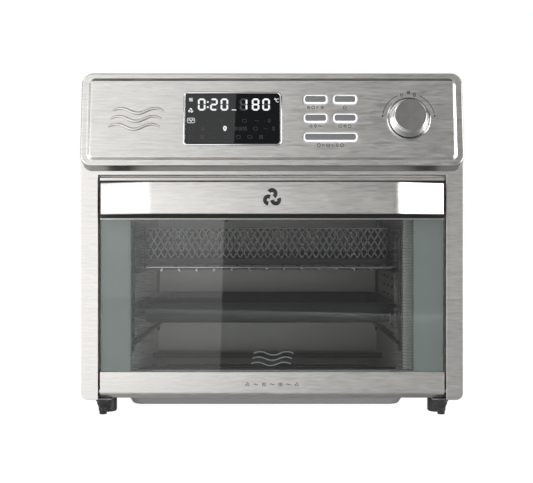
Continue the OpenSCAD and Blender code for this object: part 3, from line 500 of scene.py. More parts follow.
@takes_slot("bright_trim")
def white_ring_painted_glow(name):
    """White polycarbonate ring round a button: glossy, with a faint violet-white painted glow that brightens it,
    though no lamp lights it.
    """
    _, _, shader = grained(name, linear("F0F0F4"), 0.2, 0.03, 1.0, 0.004)
    # painted glow: a faint emission that brightens the ring, standing in for light
    feed(shader, {"Emission Color": (*linear("E2E2F6"), 1), "Emission Strength": 0.12})


@takes_slot("display_glass")
def gloss_black_acrylic(name):
    """Black-backed acrylic window: deep black under a hard mirror gloss, with a trace of cloudiness."""
    tree, place, shader = blank(name)
    cloud = add(tree, "TexNoise", {"Vector": place, "Scale": 1 / (25 * MM), "Detail": 1.0})
    feed(shader, {"Base Color": varied(tree, cloud, linear("111213"), 0.1), "Roughness": 0.012})


@takes_slot("circuit_board")
def fibreglass_board(name):
    """Glass-epoxy circuit board: green solder mask, mottled finely and over about 75 mm, slightly glossy."""
    grained(name, linear("1F5B3A"), 0.4, 0.35, 2.5, 0.02, coat=0.4)


@takes_slot("black_plastic")
def moulded_black_pbt(name):
    """Black PBT, spark-eroded texture of about half a millimetre: dull with a soft sheen."""
    grained(name, linear("232325"), 0.5, 0.15, 0.6, 0.04)


@takes_slot("screw_steel")
def zinc_plated_screw(name):
    """Zinc-plated steel fasteners: bright grey, finely pitted."""
    grained(name, linear("A9ABAD"), 0.3, 0.1, 0.7, 0.03, metallic=1.0)


@takes_slot("silicone_seal")
def silicone_rubber(name):
    """Extruded silicone: near black, matt, powdery to the touch."""
    grained(name, linear("1E1E1F"), 0.75, 0.15, 0.5, 0.03)


@takes_slot("door_glass")
def tinted_tempered_glass(name):
    """Grey tempered glass of the door: it darkens the inside and mirrors the room."""
    clear_glass(name, bpy.context.scene.oven_colours.glass, 0.0)


@takes_slot("dark_frame")
def heatproof_frame_paint(name):
    """Silicone-resin paint on the door's inner frame: satin blue-grey with light orange peel."""
    grained(name, bpy.context.scene.oven_colours.inner_frame, 0.38, 0.05, 1.6, 0.02)


@takes_slot("dark_frame")
def black_rail_and_painted_shade(name):
    """Black enamel on the channel behind the handle: dark satin, its near-black also painted shade for the shadow
    that falls behind the handle.
    """
    grained(name, linear("0E0F10"), 0.45, 0.1, 1.2, 0.01)


@takes_slot("basket_steel")
def expanded_steel(name):
    """Stainless sheet slit and stretched into mesh: bright beside the door, darkened towards the back by painted
    shade, from 28 to 46 mm behind the front plane."""
    tree, place, shader = grained(name, linear("E2E2E1"), 0.3, 0.1, 2.0, 0.03, metallic=0.5)
    bright = shader.inputs["Base Color"].links[0].from_socket
    # painted shade: the colour darkens with depth behind the door, where less light reaches the strands
    depth = add(tree, "SeparateXYZ", {0: place}).outputs[1]
    tint = add(tree, "MapRange", {0: depth, 1: FRONT_Y + 28 * MM, 2: FRONT_Y + 46 * MM})
    inputs = {0: tint, 6: bright, 7: (*linear("1F1E1D"), 1)}
    feed(shader, {"Base Color": add(tree, "Mix", inputs, data_type="RGBA").outputs[2]})


@takes_slot("basket_steel")
def heat_blued_steel(name):
    """Plain steel darkened by the oven's heat: near black with a soft metal shine."""
    grained(name, linear("4B4A49"), 0.4, 0.15, 2.0, 0.02, metallic=0.8)


@takes_slot("pan_enamel")
def nonstick_coating(name):
    """Dark non-stick coating: charcoal with a fine faint fleck and a low sheen."""
    grained(name, linear("212223"), 0.42, 0.1, 0.7, 0.005)


@takes_slot("tray_steel")
def satin_tray_coating(name):
    """Grey silicone-polyester coat on the crumb tray: even satin with a fine fleck."""
    grained(name, linear("858586"), 0.4, 0.06, 0.7, 0.02)


@takes_slot("button_satin")
def satin_button_abs(name):
    """Satin painted ABS button faces: mid grey, very fine grain."""
    grained(name, linear("5E5F5F"), 0.36, 0.03, 0.4, 0.008)


@takes_slot("knob_face")
def spun_aluminium(name):
    """Turned aluminium disc: fine circles about its own middle, with the shine of a turned face painted into its
    colour as lighter opposite wedges.
    """
    tree, place, shader = blank(name)
    centre = at_spot(np.zeros(3), "knob_body")
    lean = float(np.arctan2(PANEL_OUT[2], -PANEL_OUT[1]))
    moved = add(tree, "VectorMath", {0: place, 1: tuple(centre)}, operation="SUBTRACT")
    level = add(tree, "VectorRotate", {"Vector": moved, "Axis": (1, 0, 0), "Angle": lean})
    split = add(tree, "SeparateXYZ", {0: level})
    reach = add(tree, "CombineXYZ", {0: split.outputs[0], 1: split.outputs[2]})
    radius = add(tree, "VectorMath", {0: reach}, operation="LENGTH")
    spread = add(tree, "CombineXYZ", {0: radius.outputs["Value"]})
    rings = add(tree, "TexNoise", {"Vector": spread, "Scale": 1 / (0.9 * MM), "Detail": 2.0})

    # painted highlight: the colour, carried by glow, is lightened in wedges round the middle, standing in for the
    # shine a turned face catches
    bearing = add(tree, "Math", {0: split.outputs[0], 1: split.outputs[2]}, operation="ARCTAN2")
    fourfold = add(tree, "Math", {0: bearing, 1: 4.0}, operation="MULTIPLY")
    painted_shine_wedge = add(tree, "Math", {0: fourfold}, operation="COSINE")
    glow = add(tree, "Math", {0: painted_shine_wedge, 1: 0.16, 2: rings}, operation="MULTIPLY_ADD")
    rough = add(tree, "MapRange", {0: rings, 3: 0.36, 4: 0.5})
    feed(shader, {"Base Color": varied(tree, glow, linear("7E7D7B"), 0.14),
                  "Roughness": rough, "Metallic": 0.75})


@takes_slot("display_glass")
def lit_segment(name):
    """White segments of the backlit display: even light, slightly uneven from the diffuser behind."""
    glowing(name, linear("F6F8FA"))


@takes_slot("display_glass")
def resting_segment(name):
    """Unlit segments and symbols: a trace lighter than the window, seen only close up."""
    glowing(name, linear("3B3C3F"))


@takes_slot("black_plastic")
def black_pad_print(name):
    """Black pad-printed ink: matt, a little thin in places."""
    grained(name, linear("1A1A1B"), 0.55, 0.3, 0.5, 0.002)


@takes_slot("door_glass")
def shade_screen_print(name):
    """Blue-grey shading lines on the glass: flat, matched to the painted frame behind."""
    grained(name, linear("3F4545"), 0.5, 0.08, 0.5, 0.002)


@takes_slot("door_glass")
def grey_screen_print(name):
    """Grey screen print on the glass: flat, soft-edged grey."""
    grained(name, linear("5E6062"), 0.6, 0.1, 0.5, 0.002)


# ---------- symbols ----------


def circle(x, v, radius, start=0, end=360, steps=24):
    """Points on an arc about (x, v)."""
    angle = np.radians(np.linspace(start, end, steps + 1))
    return np.stack([x + radius * np.cos(angle), v + radius * np.sin(angle)], -1)


def wave_line(x, v, length, height, turns=1.0, upright=False):
    """A sine line about (x, v): height sin(2 pi turns t) across a straight length."""
    t = np.linspace(0, 1, 33)
    run, swing = (t - 0.5) * length, height / 2 * np.sin(2 * np.pi * turns * t)
    return np.stack([x + swing, v + run] if upright else [x + run, v + swing], -1)


def wave_mark(x, v, length, height, rise, shift):
    """The heat-wave mark: three sine lines about (x, v), a rise apart, the upper to the right by the shift
    and the lower to the left."""
    return [wave_line(x + step * shift, v + step * rise, length, height, 1.5) for step in (1, 0, -1)]


def symbol(kind, x, v, size):
    """Strokes of a small generic symbol about (x, v), half as wide as size to either side."""
    half = size / 2
    if kind == "ring":
        return [circle(x, v, half)]
    if kind == "heat":
        return [wave_line(x + s * half * 0.7, v, size, half * 0.35, 1.2, True) for s in (-1, 0, 1)]
    if kind == "fan":
        hubs = [(turn, half * 0.5 * np.cos(np.radians(turn)), half * 0.5 * np.sin(np.radians(turn)))
                for turn in (90, 210, 330)]
        return [circle(x + dx, v + dv, half * 0.42, turn - 150, turn + 60, 10) for turn, dx, dv in hubs]
    if kind == "box":
        return [box_path(x, v, size, size * 0.75)]
    if kind == "drop":
        t = np.linspace(0, 2 * np.pi, 25)
        return [np.stack([x + half * 0.7 * np.sin(t) * np.sin(t / 2), v - half * np.cos(t)], -1)]
    if kind == "triangle":
        return [half * np.array([(-0.6, 0.8), (0.8, 0), (-0.6, -0.8), (-0.6, 0.8)]) + [x, v]]
    return [wave_line(x, v, size, half * 0.5, 1.0)]


def box_path(x, v, width, height):
    """A closed rounded box as one stroke."""
    loop = rounded_loops(width, height, height / 4, [(0, 0)], 3)[0, :, :2] + [x, v]
    return np.concatenate([loop, loop[:1]])


def printed(name, strokes, place, depth, finish, body="cabinet"):
    """Ink on a surface: each (path, width) stroke as a thin flat ribbon at one depth, placed as one piece."""
    parts = []
    for path, width in strokes:
        edge = ribbon(path, width)
        points = np.concatenate([edge, np.full(edge.shape[:2] + (1,), depth)], -1)
        parts.append((points, quads(points, loop_cols=False)))
    points, faces = joined(parts)
    return walled(piece(name, place(points), faces, finish, body, weld=False), 0.04)


# ---------- panel details ----------


DISPLAY_SPOT = panel_spot("display_window")
DISPLAY_W, DISPLAY_H = np.subtract(*panel_box("display_window")[::-1])[:2]
DISPLAY_CORNER = 3.2
GLASS_TOP = FIELD_RISE + 0.5
BUTTONS = ("preheat_button", "light_button", "air_fry_button", "oven_button", "start_button")
BUTTON_FLANGE = 1.2
BUTTON_CORNER = 3.8
SHAFT_HOLE = 9.4
SHAFT_CORNER = 4.6
SEGMENTS = {"0": "abcdef", "1": "bc", "2": "abdeg", "8": "abcdefg"}


def button_size(name):
    """Length and height of a button's visible part, which is its CAD node without the flange behind it."""
    low, high = panel_box(name)
    return (high - low)[:2] - 2 * BUTTON_FLANGE


def hole_lip(width, height, corner, spot, gap):
    """The narrow flat and the wall round a hole in the raised field, as loops from the outside in."""
    round_off, wall = 0.12, 1.0
    lip = [(gap + 0.9, FIELD_RISE), (gap + round_off, FIELD_RISE), (gap, FIELD_RISE - round_off),
           (gap, FIELD_RISE - wall)]
    return rounded_loops(width, height, corner, lip, 6) + [*spot, 0]


def display_place(points):
    """Places points that are measured from the display's middle."""
    return on_panel(np.asarray(points) + [DISPLAY_SPOT[0], 0, 0])


def segment_outlines(x, v):
    """The seven six-sided bars of a digit about (x, v), by their usual letters."""
    across, up, stroke, tip = 3.05, 2.8, 1.9, 0.95
    lying = np.array([(-across, 0), (tip - across, stroke / 2), (across - tip, stroke / 2), (across, 0),
                      (across - tip, -stroke / 2), (tip - across, -stroke / 2)]) * [0.96, 1]
    standing = lying[:, ::-1] * [1, up / across]
    middles = {"a": (0, 2 * up), "g": (0, 0), "d": (0, -2 * up), "f": (-across, up), "b": (across, up),
               "e": (-across, -up), "c": (across, -up)}
    return {key: (lying if key in "agd" else standing) + middle + [x, v] for key, middle in middles.items()}


def segments(name, outlines, finish):
    """All bars of one brightness as flat six-sided faces with a film's thickness."""
    outlines = np.array(outlines)
    points = np.concatenate([outlines, np.full(outlines.shape[:2] + (1,), GLASS_TOP + 0.08)], -1)
    faces = np.arange(points.shape[0] * 6).reshape(-1, 6).tolist()
    walled(piece(name, display_place(points.reshape(-1, 3)), faces, finish, weld=False), 0.05)


def lit_symbols():
    """Strokes that glow: the colon, the unit marks and the running mode."""
    strokes = [(circle(-25.9, v, 0.5, steps=10), 1.1) for v in (17.9, 12.4)]
    strokes += [(np.array([(-0.8, 9.4), (3.9, 9.4)]), 0.9)]
    strokes += [(circle(44.6, 21.2, 0.7, steps=10), 0.5), (circle(47.3, 19.6, 1.7, 50, 310), 0.6)]
    strokes += [(path, 1.1) for path in symbol("fan", -43.8, 8.7, 4.6)]
    strokes += [(path, 0.7) for path in symbol("heat", -43.7, 20.4, 3.6)]
    strokes += [(box_path(-43.3, -2.0, 7.6, 5.0), 0.5), (wave_line(-43.3, -2.0, 5.0, 2.0, 1.5), 0.7)]
    strokes += [(path, 1.4) for path in symbol("drop", -7.8, -10.8, 4.6)]
    return strokes


def resting_symbols():
    """Strokes that rest: rows of generic food and mode symbols."""
    rows = [
        (-2.3, ((-26.2, "wave"), (-11.6, "drop"), (0.2, "ring"), (12.6, "box"), (25.6, "wave"),
                (38.4, "drop"))),
        (-10.8, ((-42.8, "box"), (-31.0, "drop"), (-19.6, "wave"), (3.4, "heat"), (8.4, "heat"),
                 (13.2, "heat"), (24.2, "ring"), (34.6, "wave"), (43.0, "drop"))),
        (-19.6, ((-43.0, "box"), (-31.4, "heat"), (-19.4, "wave"), (-6.0, "triangle"), (6.2, "box"),
                 (18.2, "box"), (30.0, "heat"))),
    ]
    return [(path, 0.4) for v, marks in rows for x, kind in marks for path in symbol(kind, x, v, 4.2)]


# ---------- settings ----------


class OvenSizes(bpy.types.PropertyGroup):
    """Sizes of details that only the looks have."""

    edge_radius: FloatProperty(
        name="Edge radius", description="Round on the folded sheet edges",
        default=0.8 * MM, min=0.2 * MM, max=2 * MM, unit="LENGTH")
    handle_bend: FloatProperty(
        name="Handle bend", description="Inside reach of the handle's two bends",
        default=5 * MM, min=2 * MM, max=20 * MM, unit="LENGTH")
    mesh_width: FloatProperty(
        name="Mesh opening width", description="Width of one diamond of the basket's mesh",
        default=7.5 * MM, min=4 * MM, max=15 * MM, unit="LENGTH")
    mesh_height: FloatProperty(
        name="Mesh opening height", description="Height of one diamond of the basket's mesh",
        default=13.5 * MM, min=6 * MM, max=25 * MM, unit="LENGTH")
    strand: FloatProperty(
        name="Strand width", description="Width of the mesh's flat strands",
        default=1.15 * MM, min=0.6 * MM, max=3 * MM, unit="LENGTH")
    dial_steps: IntProperty(
        name="Dial facets", description="Facets round the knob", default=96, min=32, max=256)


class OvenColours(bpy.types.PropertyGroup):
    """Colours of the main finishes."""

    stainless: FloatVectorProperty(
        name="Stainless", description="Brushed front steel", subtype="COLOR",
        default=linear("D9D7D3"), min=0, max=1)
    wrapper: FloatVectorProperty(
        name="Wrapper", description="Side and top sheet", subtype="COLOR",
        default=linear("BFBEBC"), min=0, max=1)
    liner: FloatVectorProperty(
        name="Liner", description="Inside of the oven", subtype="COLOR",
        default=linear("C4C2BE"), min=0, max=1)
    glass: FloatVectorProperty(
        name="Door glass", description="Tint of the door glass", subtype="COLOR",
        default=linear("DADCDB"), min=0, max=1)
    inner_frame: FloatVectorProperty(
        name="Inner frame", description="Painted frame behind the glass", subtype="COLOR",
        default=linear("8D9493"), min=0, max=1)


# ---------- operators ----------


OWN_FINISH = {
    # near black: the channel's enamel together with painted shade behind the handle
    "handle_rail": "black_rail_and_painted_shade",
    "rack_rails_left": "dulled_wire",
    "rack_rails_right": "dulled_wire",
}


class OVEN_OT_carried_finishes(bpy.types.Operator):
    """Gives every CAD node that keeps its shape the finish of its slot"""

    bl_idname = "toaster_oven.carried_finishes"
    bl_label = "Finishes of the carried-over pieces"

    def execute(self, context):
        by_slot = {}
        for finish, (slot, _) in FINISHES.items():
            by_slot.setdefault(slot, finish)
        slots = {part["node"]: part["material_slot"] for part in frame["record"]["subparts"]}
        for node, obj in NODES.items():
            finish = OWN_FINISH.get(node, by_slot[slots[node]])
            for slot in obj.material_slots:
                slot.material = material(finish)
        return {"FINISHED"}


class OVEN_OT_folded_sheet(bpy.types.Operator):
    """Rounds the folded edges of the front frame, the door trims and the small moulded pieces"""

    bl_idname = "toaster_oven.folded_sheet"
    bl_label = "Folded sheet and mouldings"

    def execute(self, context):
        radius = context.scene.oven_sizes.edge_radius / MM
        fold = min(radius, 0.45)
        softened("front_frame", "brushed_430_stainless", "cabinet", fold)
        softened("door_top_trim", "brushed_430_stainless", "door", fold)
        softened("door_bottom_trim", "brushed_430_stainless", "door", 0.3)
        softened("handle_standoffs", "moulded_black_pbt", "door", radius)
        for node, edge in (("rear_spacers", radius), ("cord_gland", 0.5), ("front_stop_feet", 0.3)):
            softened(node, "moulded_black_pbt", "cabinet", edge)
        return {"FINISHED"}


class OVEN_OT_control_fascia(bpy.types.Operator):
    """Presses the sloping control panel with its raised field, its rolled rim and its skirt"""

    bl_idname = "toaster_oven.control_fascia"
    bl_label = "Control fascia"

    def execute(self, context):
        low, high = front_box("control_fascia")
        width, corner, steps = high[0] - low[0], 12.0, 12
        length = 2 * (high[2] * MM - PANEL_MID[2]) / PANEL_UP[2] / MM
        side_margin, end_margin, field_corner = 8.8, 7.5, 5.5
        border = [(-2.6, FIELD_RISE), (-1.8, FIELD_RISE), (-1.2, FIELD_RISE - 0.3),
                  (1.2, 0.3), (1.8, 0.0), (2.6, 0.0)]
        field = rounded_loops(width - 2 * side_margin, length - 2 * end_margin, field_corner, border, steps)
        turn, roll = np.radians(np.linspace(90, 0, 6)), 1.6
        curl = np.stack([roll * np.cos(turn) - roll, roll * np.sin(turn) - roll], -1)
        rim = rounded_loops(width, length, corner, np.concatenate([[(-2.4, 0)], curl]), steps)
        rows = np.concatenate([field, rim])
        lips = [hole_lip(DISPLAY_W, DISPLAY_H, DISPLAY_CORNER, DISPLAY_SPOT, 0.2)]
        lips += [hole_lip(*button_size(name), BUTTON_CORNER, panel_spot(name), 0.35) for name in BUTTONS]
        lips += [hole_lip(SHAFT_HOLE, SHAFT_HOLE, SHAFT_CORNER, panel_spot("knob_body"), 0.1)]
        face = plate(field[0], [lip[0] for lip in lips], FIELD_RISE)
        panel_points, panel_faces = joined([face, *((loops, quads(loops)) for loops in [rows, *lips])])
        skirt = fascia_skirt(on_panel(rim[-1]), steps)
        points, faces = joined([(on_panel(panel_points), panel_faces), (skirt, quads(skirt))])
        pressed = piece("control_fascia_pressed", points, faces, "brushed_430_stainless",
                        stands_for=["control_fascia"], crease=50)
        walled(pressed, 0.8)
        return {"FINISHED"}


def fascia_skirt(edge, steps):
    """The wall behind the panel's edge: straight back to the wrapper above the frame's top, and to the front
    plane below it, where it also drops as a sloping lip."""
    lip_drop, seam_overlap, least_reach = 4.8, 0.5, 0.4
    seam, wrapper_y = front_box("front_frame")[1][2], front_box("outer_wrapper")[0][1]
    end_y = np.where(edge[:, 2] > (seam - seam_overlap) * MM, wrapper_y, 0.0) * MM + FRONT_Y
    downward = np.clip(-rounded_loops(2, 2, 1, [(0, 0)], steps)[0, :, 1], 0, 1)
    foot = np.column_stack([edge[:, 0], np.maximum(end_y, edge[:, 1] + least_reach * MM),
                            edge[:, 2] - downward * lip_drop * MM])
    return np.stack([edge + (foot - edge) * share for share in (0, 0.06, 0.94, 1)])


class OVEN_OT_display(bpy.types.Operator):
    """Makes the window, its chromed bezel, the time and temperature digits and the rows of symbols"""

    bl_idname = "toaster_oven.display"
    bl_label = "Display"

    def execute(self, context):
        profile = [(0, 0.5), (0, GLASS_TOP - 0.4), (-0.4, GLASS_TOP)]
        window = rounded_loops(DISPLAY_W, DISPLAY_H, DISPLAY_CORNER, profile)
        piece("display_lens", display_place(window), capped(window), "gloss_black_acrylic",
              stands_for=["display_window"])
        section = [(0.02, 2.0), (2.0, 2.0), (2.0, 2.6), (1.3, 3.0), (0.5, 3.0), (0.02, 2.7)]
        bezel = rounded_loops(DISPLAY_W, DISPLAY_H, DISPLAY_CORNER, eased(section, 0.3, 3, closed=True))
        piece("display_trim", display_place(bezel), quads(bezel, loop_rows=True), "polished_chrome",
              stands_for=["display_bezel"])
        lit, resting = [], []
        digits_v = 15.2
        for x, digit in zip((-32.3, -19.5, -8.5, 11.6, 24.2, 35.2), "020180"):
            for key, outline in segment_outlines(x, digits_v).items():
                (lit if key in SEGMENTS[digit] else resting).append(outline)
        segments("display_lit_segments", lit, "lit_segment")
        segments("display_resting_segments", resting, "resting_segment")
        ink = GLASS_TOP + 0.06
        printed("display_lit_symbols", lit_symbols(), display_place, ink, "lit_segment")
        printed("display_resting_symbols", resting_symbols(), display_place, ink, "resting_segment")
        return {"FINISHED"}


class OVEN_OT_buttons(bpy.types.Operator):
    """Makes the five push buttons with their bright bevels and satin faces"""

    bl_idname = "toaster_oven.buttons"
    bl_label = "Push buttons"

    def execute(self, context):
        for name in BUTTONS:
            length, height = button_size(name)
            rim = [(0, -1.0), (0, 2.9), (-0.12, 3.2), (-1.1, 4.4), (-1.35, 4.6), (-1.6, 4.5), (-1.6, 3.5)]
            shell = rounded_loops(length, height, BUTTON_CORNER, rim)
            piece(name + "_bevel", at_spot(shell, name), capped(shell), "white_ring_painted_glow", name, [name])
            top = rounded_loops(length, height, BUTTON_CORNER, [(-1.62, 3.6), (-1.62, 4.4), (-1.8, 4.52)])
            piece(name + "_face", at_spot(top, name), capped(top), "satin_button_abs", name)
        return {"FINISHED"}


class OVEN_OT_knob(bpy.types.Operator):
    """Turns the selector knob, its ring and its spun face"""

    bl_idname = "toaster_oven.knob"
    bl_label = "Selector knob"

    def execute(self, context):
        steps = context.scene.oven_sizes.dial_steps
        groove = [(8, 2), (23, 2), (23, 3.2), (22.4, 3.8), (21.9, 3.8), (21.7, 2.5), (8, 2.5)]
        ring = turned(eased(groove, 0.3, 3, closed=True), steps)
        flank = [(5.6, 4.2), (20.7, 4.2), (20.7, 6), (19.6, 9), (17.6, 14), (17.4, 16.6), (16.6, 17.6),
                 (16, 17.6), (16, 16.6), (0, 16.6)]
        bore = [(0, 15), (5.6, 15)]
        body = turned(np.concatenate([bore, eased(flank, 0.8, 4)]), steps)
        face = turned([(0, 16.6), (15.9, 16.6), (15.9, 17.3), (15.6, 17.4), (14.8, 17.3), (0, 17.2)], steps)
        place = "knob_body"
        piece("knob_ring_turned", at_spot(ring, place), quads(ring, loop_rows=True), "polished_chrome",
              stands_for=["knob_ring"])
        piece("knob_body_turned", at_spot(body, place), quads(body), "polished_chrome", "knob", ["knob_body"])
        piece("knob_cap_turned", at_spot(face, place), quads(face), "spun_aluminium", "knob", ["knob_cap"])
        return {"FINISHED"}


class OVEN_OT_markings(bpy.types.Operator):
    """Prints the legends and raises the heat-wave emblem"""

    bl_idname = "toaster_oven.markings"
    bl_label = "Markings"

    def execute(self, context):
        x, v = panel_spot("knob_body")
        arc_radius, dot_reach = 27.4, 27.2
        strokes = [(circle(x, v, arc_radius, start, end), 0.6) for start, end in ((11, 66), (114, 169))]
        strokes += [(circle(x + side * dot_reach, v + 3, 0.45, steps=10), 0.9) for side in (-1, 1)]
        dial_symbols = ((-7.3, 25.6, "ring", 2.4), (0.2, 28.4, "heat", 3.4), (6.3, 25.8, "drop", 4.2))
        strokes += [(path, 0.7) for across, up, kind, size in dial_symbols
                    for path in symbol(kind, x + across, v + up, size)]
        legends = {"preheat_button": ("heat", "ring", "triangle", "heat"), "light_button": ("ring",),
                   "air_fry_button": ("fan", "drop", "wave"), "oven_button": ("box", "heat", "ring"),
                   "start_button": ("ring", "triangle", "box", "wave", "drop", "ring")}
        pitch, drop, size = 4.8, 8.4, 3.2
        for name, kinds in legends.items():
            middle_x, middle_v = panel_spot(name)
            for index, kind in enumerate(kinds):
                mark_x = middle_x + (index - (len(kinds) - 1) / 2) * pitch
                strokes += [(path, 0.55) for path in symbol(kind, mark_x, middle_v - drop, size)]
        printed("panel_legends", strokes, on_panel, FIELD_RISE + 0.05, "black_pad_print")
        waves = [ridge(line, 3.4, 1.1) for line in wave_mark(-142.5, 0, 54, 5.4, 8.6, 2)]
        points, faces = joined([(wave, capped(wave)) for wave in waves])
        piece("emblem_waves", on_panel(points + [0, 0, FIELD_RISE]), faces, "brushed_430_stainless",
              crease=60)
        glass_waves = [(line, 1.3) for line in wave_mark(0, 58.5, 42, 3.6, 5.5, 1.5)]
        on_door("glass_mark", glass_waves, "door_outer_glass", "grey_screen_print")
        on_door("glass_shade", shade_lines(), "door_outer_glass", "shade_screen_print")
        trim_kinds = ("fan", "wave", "heat", "wave", "heat", "wave", "fan")
        trim_pitch, trim_z = 8.6, 31.7
        trim_marks = [(path, 0.6) for index, kind in enumerate(trim_kinds)
                      for path in symbol(kind, (index - 3) * trim_pitch, trim_z, 4.0)]
        on_door("trim_mark", trim_marks, "door_bottom_trim", "black_pad_print")
        low, high = front_box("door_handle")
        badge = [(path, 4.0) for path in symbol("fan", 0, (low[2] + high[2]) / 2, 17)]
        on_door("handle_mark", badge, "door_handle", "black_pad_print")
        return {"FINISHED"}


def shade_lines():
    """Fine level lines that fade the glass in from the painted frame: short ones close together beside it,
    and every second and fourth one longer."""
    frame_x, spacing = 148.5, 1.6
    heights = np.arange(46.0, 246.0, spacing)
    order = np.arange(len(heights))
    reach = np.where(order % 4 == 0, 24.0, np.where(order % 2 == 0, 16.0, 8.0))
    return [(np.array([(side * frame_x, z), (side * (frame_x - length), z)]), 0.5)
            for z, length in zip(heights, reach) for side in (-1, 1)]


def on_door(name, strokes, node, ink):
    """Prints (x, z) strokes a film's thickness in front of a door part."""
    front = front_box(node)[0][1] - 0.05

    def upright(points):
        """Places flat stroke points in the door's upright plane."""
        return at_front(np.stack([points[..., 0], 0 * points[..., 0] + front, points[..., 1]], -1))

    printed(name, strokes, upright, 0, ink, "door")


class OVEN_OT_door_handle(bpy.types.Operator):
    """Bends the flat strap handle"""

    bl_idname = "toaster_oven.door_handle"
    bl_label = "Door handle"

    def execute(self, context):
        low, high = front_box("door_handle")
        reach = context.scene.oven_sizes.handle_bend / MM
        thick, height, bend_x = 2.5, high[2] - low[2], 125.7
        leg_angle = np.arctan2(26.5, 51.1)
        middle_y, end_y = low[1] + thick / 2, high[1] - thick / 2 * np.cos(leg_angle)
        corners = [(low[0], end_y), (-bend_x, middle_y), (bend_x, middle_y), (high[0], end_y)]
        path = eased(corners, reach, 6)
        along = headings(path)
        out = np.stack([along[:, 1], -along[:, 0]], -1)
        section = rounded_loops(thick, height, 0.9, [(0, 0)], 4)[0]
        spots = path[:, None] + out[:, None] * section[None, :, :1]
        spots[..., 0] = np.clip(spots[..., 0], low[0], high[0])
        level = np.broadcast_to(section[None, :, 1:2] + (low[2] + high[2]) / 2, spots.shape[:2] + (1,))
        points = np.concatenate([spots, level], -1)
        piece("door_handle_strap", at_front(points), capped(points), "brushed_430_stainless", "door",
              ["door_handle"])
        return {"FINISHED"}


class OVEN_OT_crisper_basket(bpy.types.Operator):
    """Weaves the open basket: expanded walls and floor, a rolled top rim and a folded lower band"""

    bl_idname = "toaster_oven.crisper_basket"
    bl_label = "Crisper basket"

    def execute(self, context):
        sizes = context.scene.oven_sizes
        wide, tall, strand = sizes.mesh_width / MM, sizes.mesh_height / MM, sizes.strand / MM
        low, high = front_box("crisper_basket")
        width, depth = (high - low)[:2]
        centre = (high + low)[:2] / 2
        corner, rim, band, floor_margin = 12.0, 1.0, 6.5, 3.0
        loop = rounded_loops(width, depth, corner, [(-1.0, 0)], 8)[0, :, :2]
        loop = np.concatenate([loop, loop[:1]])
        run = np.concatenate([[0], np.cumsum(np.linalg.norm(np.diff(loop, axis=0), axis=1))])
        base, top = low[2] + 1.0, high[2] - rim
        rows = round((top - base) / (tall / 2))
        count = round(run[-1] / wide)

        def on_wall(distance, level):
            """Point on the wall a distance along the loop, and the outward direction there."""
            place = distance * run[-1] / count % run[-1]
            spot = np.stack([np.interp(place, run, loop[:, k]) for k in (0, 1)], -1)
            ahead = np.stack([np.interp((place + 0.5) % run[-1], run, loop[:, k]) for k in (0, 1)], -1)
            along = ahead - spot
            out = np.stack([along[:, 1], -along[:, 0], 0 * place], -1)
            out /= np.linalg.norm(out, axis=1, keepdims=True)
            return np.column_stack([spot, base + level * (top - base) / rows]), out

        nets = np.meshgrid(np.arange(count), np.arange(rows), [-1, 1], indexing="ij")
        index, level, lean = (net.ravel() for net in nets)
        begin = index + 0.5 * (level % 2)
        start, out = on_wall(begin, level)
        end, _ = on_wall(begin + 0.5 * lean, level + 1)
        walls = strands(start, end, out, strand, 0.9)
        floor = mesh_floor(width - 2 * floor_margin, depth - 2 * floor_margin, wide, tall, strand, base)
        angle = np.linspace(0, 2 * np.pi, 10, endpoint=False)
        roll = np.stack([rim * np.cos(angle) - rim, rim * np.sin(angle) + top], -1)
        rim_points = rounded_loops(width, depth, corner, roll)
        fold = [(-0.4, base + band), (-0.4, base - 0.9), (-band, base - 0.9), (-band, base), (-1.3, base),
                (-1.3, base + band)]
        fold_points = rounded_loops(width, depth, corner, eased(fold, 0.3, 2, closed=True))
        points, faces = joined([walls, floor, (rim_points, quads(rim_points, loop_rows=True))])
        piece("crisper_basket_mesh", at_front(points + [*centre, 0]), faces, "expanded_steel",
              "crisper_basket", ["crisper_basket"], weld=False)
        piece("crisper_basket_band", at_front(fold_points + [*centre, 0]),
              quads(fold_points, loop_rows=True), "heat_blued_steel", "crisper_basket")
        return {"FINISHED"}


def mesh_floor(width, depth, wide, tall, strand, level):
    """Two families of straight strands, y = +-(tall / wide) x + k, each cut at the floor's edge; the second
    family lies a little higher."""
    slope, least, lift = tall / wide, 2.0, 0.5
    shift = np.arange(-(width * slope + depth) / 2, (width * slope + depth) / 2, tall)
    left = np.maximum(-width / 2, (-depth / 2 - shift) / slope)
    right = np.minimum(width / 2, (depth / 2 - shift) / slope)
    keep = right - left > least
    shift, left, right = shift[keep], left[keep], right[keep]
    start = np.column_stack([left, slope * left + shift, np.full(len(shift), level)])
    end = np.column_stack([right, slope * right + shift, np.full(len(shift), level)])
    start, end = (np.concatenate([ends, ends * [-1, 1, 1]]) for ends in (start, end))
    for ends in (start, end):
        ends[len(shift):, 2] += lift
    return strands(start, end, np.broadcast_to([0.0, 0.0, 1.0], start.shape), strand, 0.8)


class OVEN_OT_pans(bpy.types.Operator):
    """Presses the baking pan and the crumb tray"""

    bl_idname = "toaster_oven.pans"
    bl_label = "Baking pan and crumb tray"

    def execute(self, context):
        low, high = front_box("baking_pan")
        bottom, rim = low[2], high[2]
        section = eased([(-0.4, rim - 1.6), (-0.2, rim - 0.1), (-6.0, rim - 0.4), (-8.2, bottom),
                         (-20, bottom)], 3.0, 5)
        press("baking_pan", low, high, 22.0, section, 1.0, "nonstick_coating")
        low, high = front_box("crumb_tray")
        bottom, rim = low[2], high[2]
        section = eased([(-0.4, rim), (-4.0, rim), (-9.0, bottom), (-18, bottom)], 2.0, 4)
        press("crumb_tray", low, high, 20.0, section, 0.8, "satin_tray_coating")
        return {"FINISHED"}


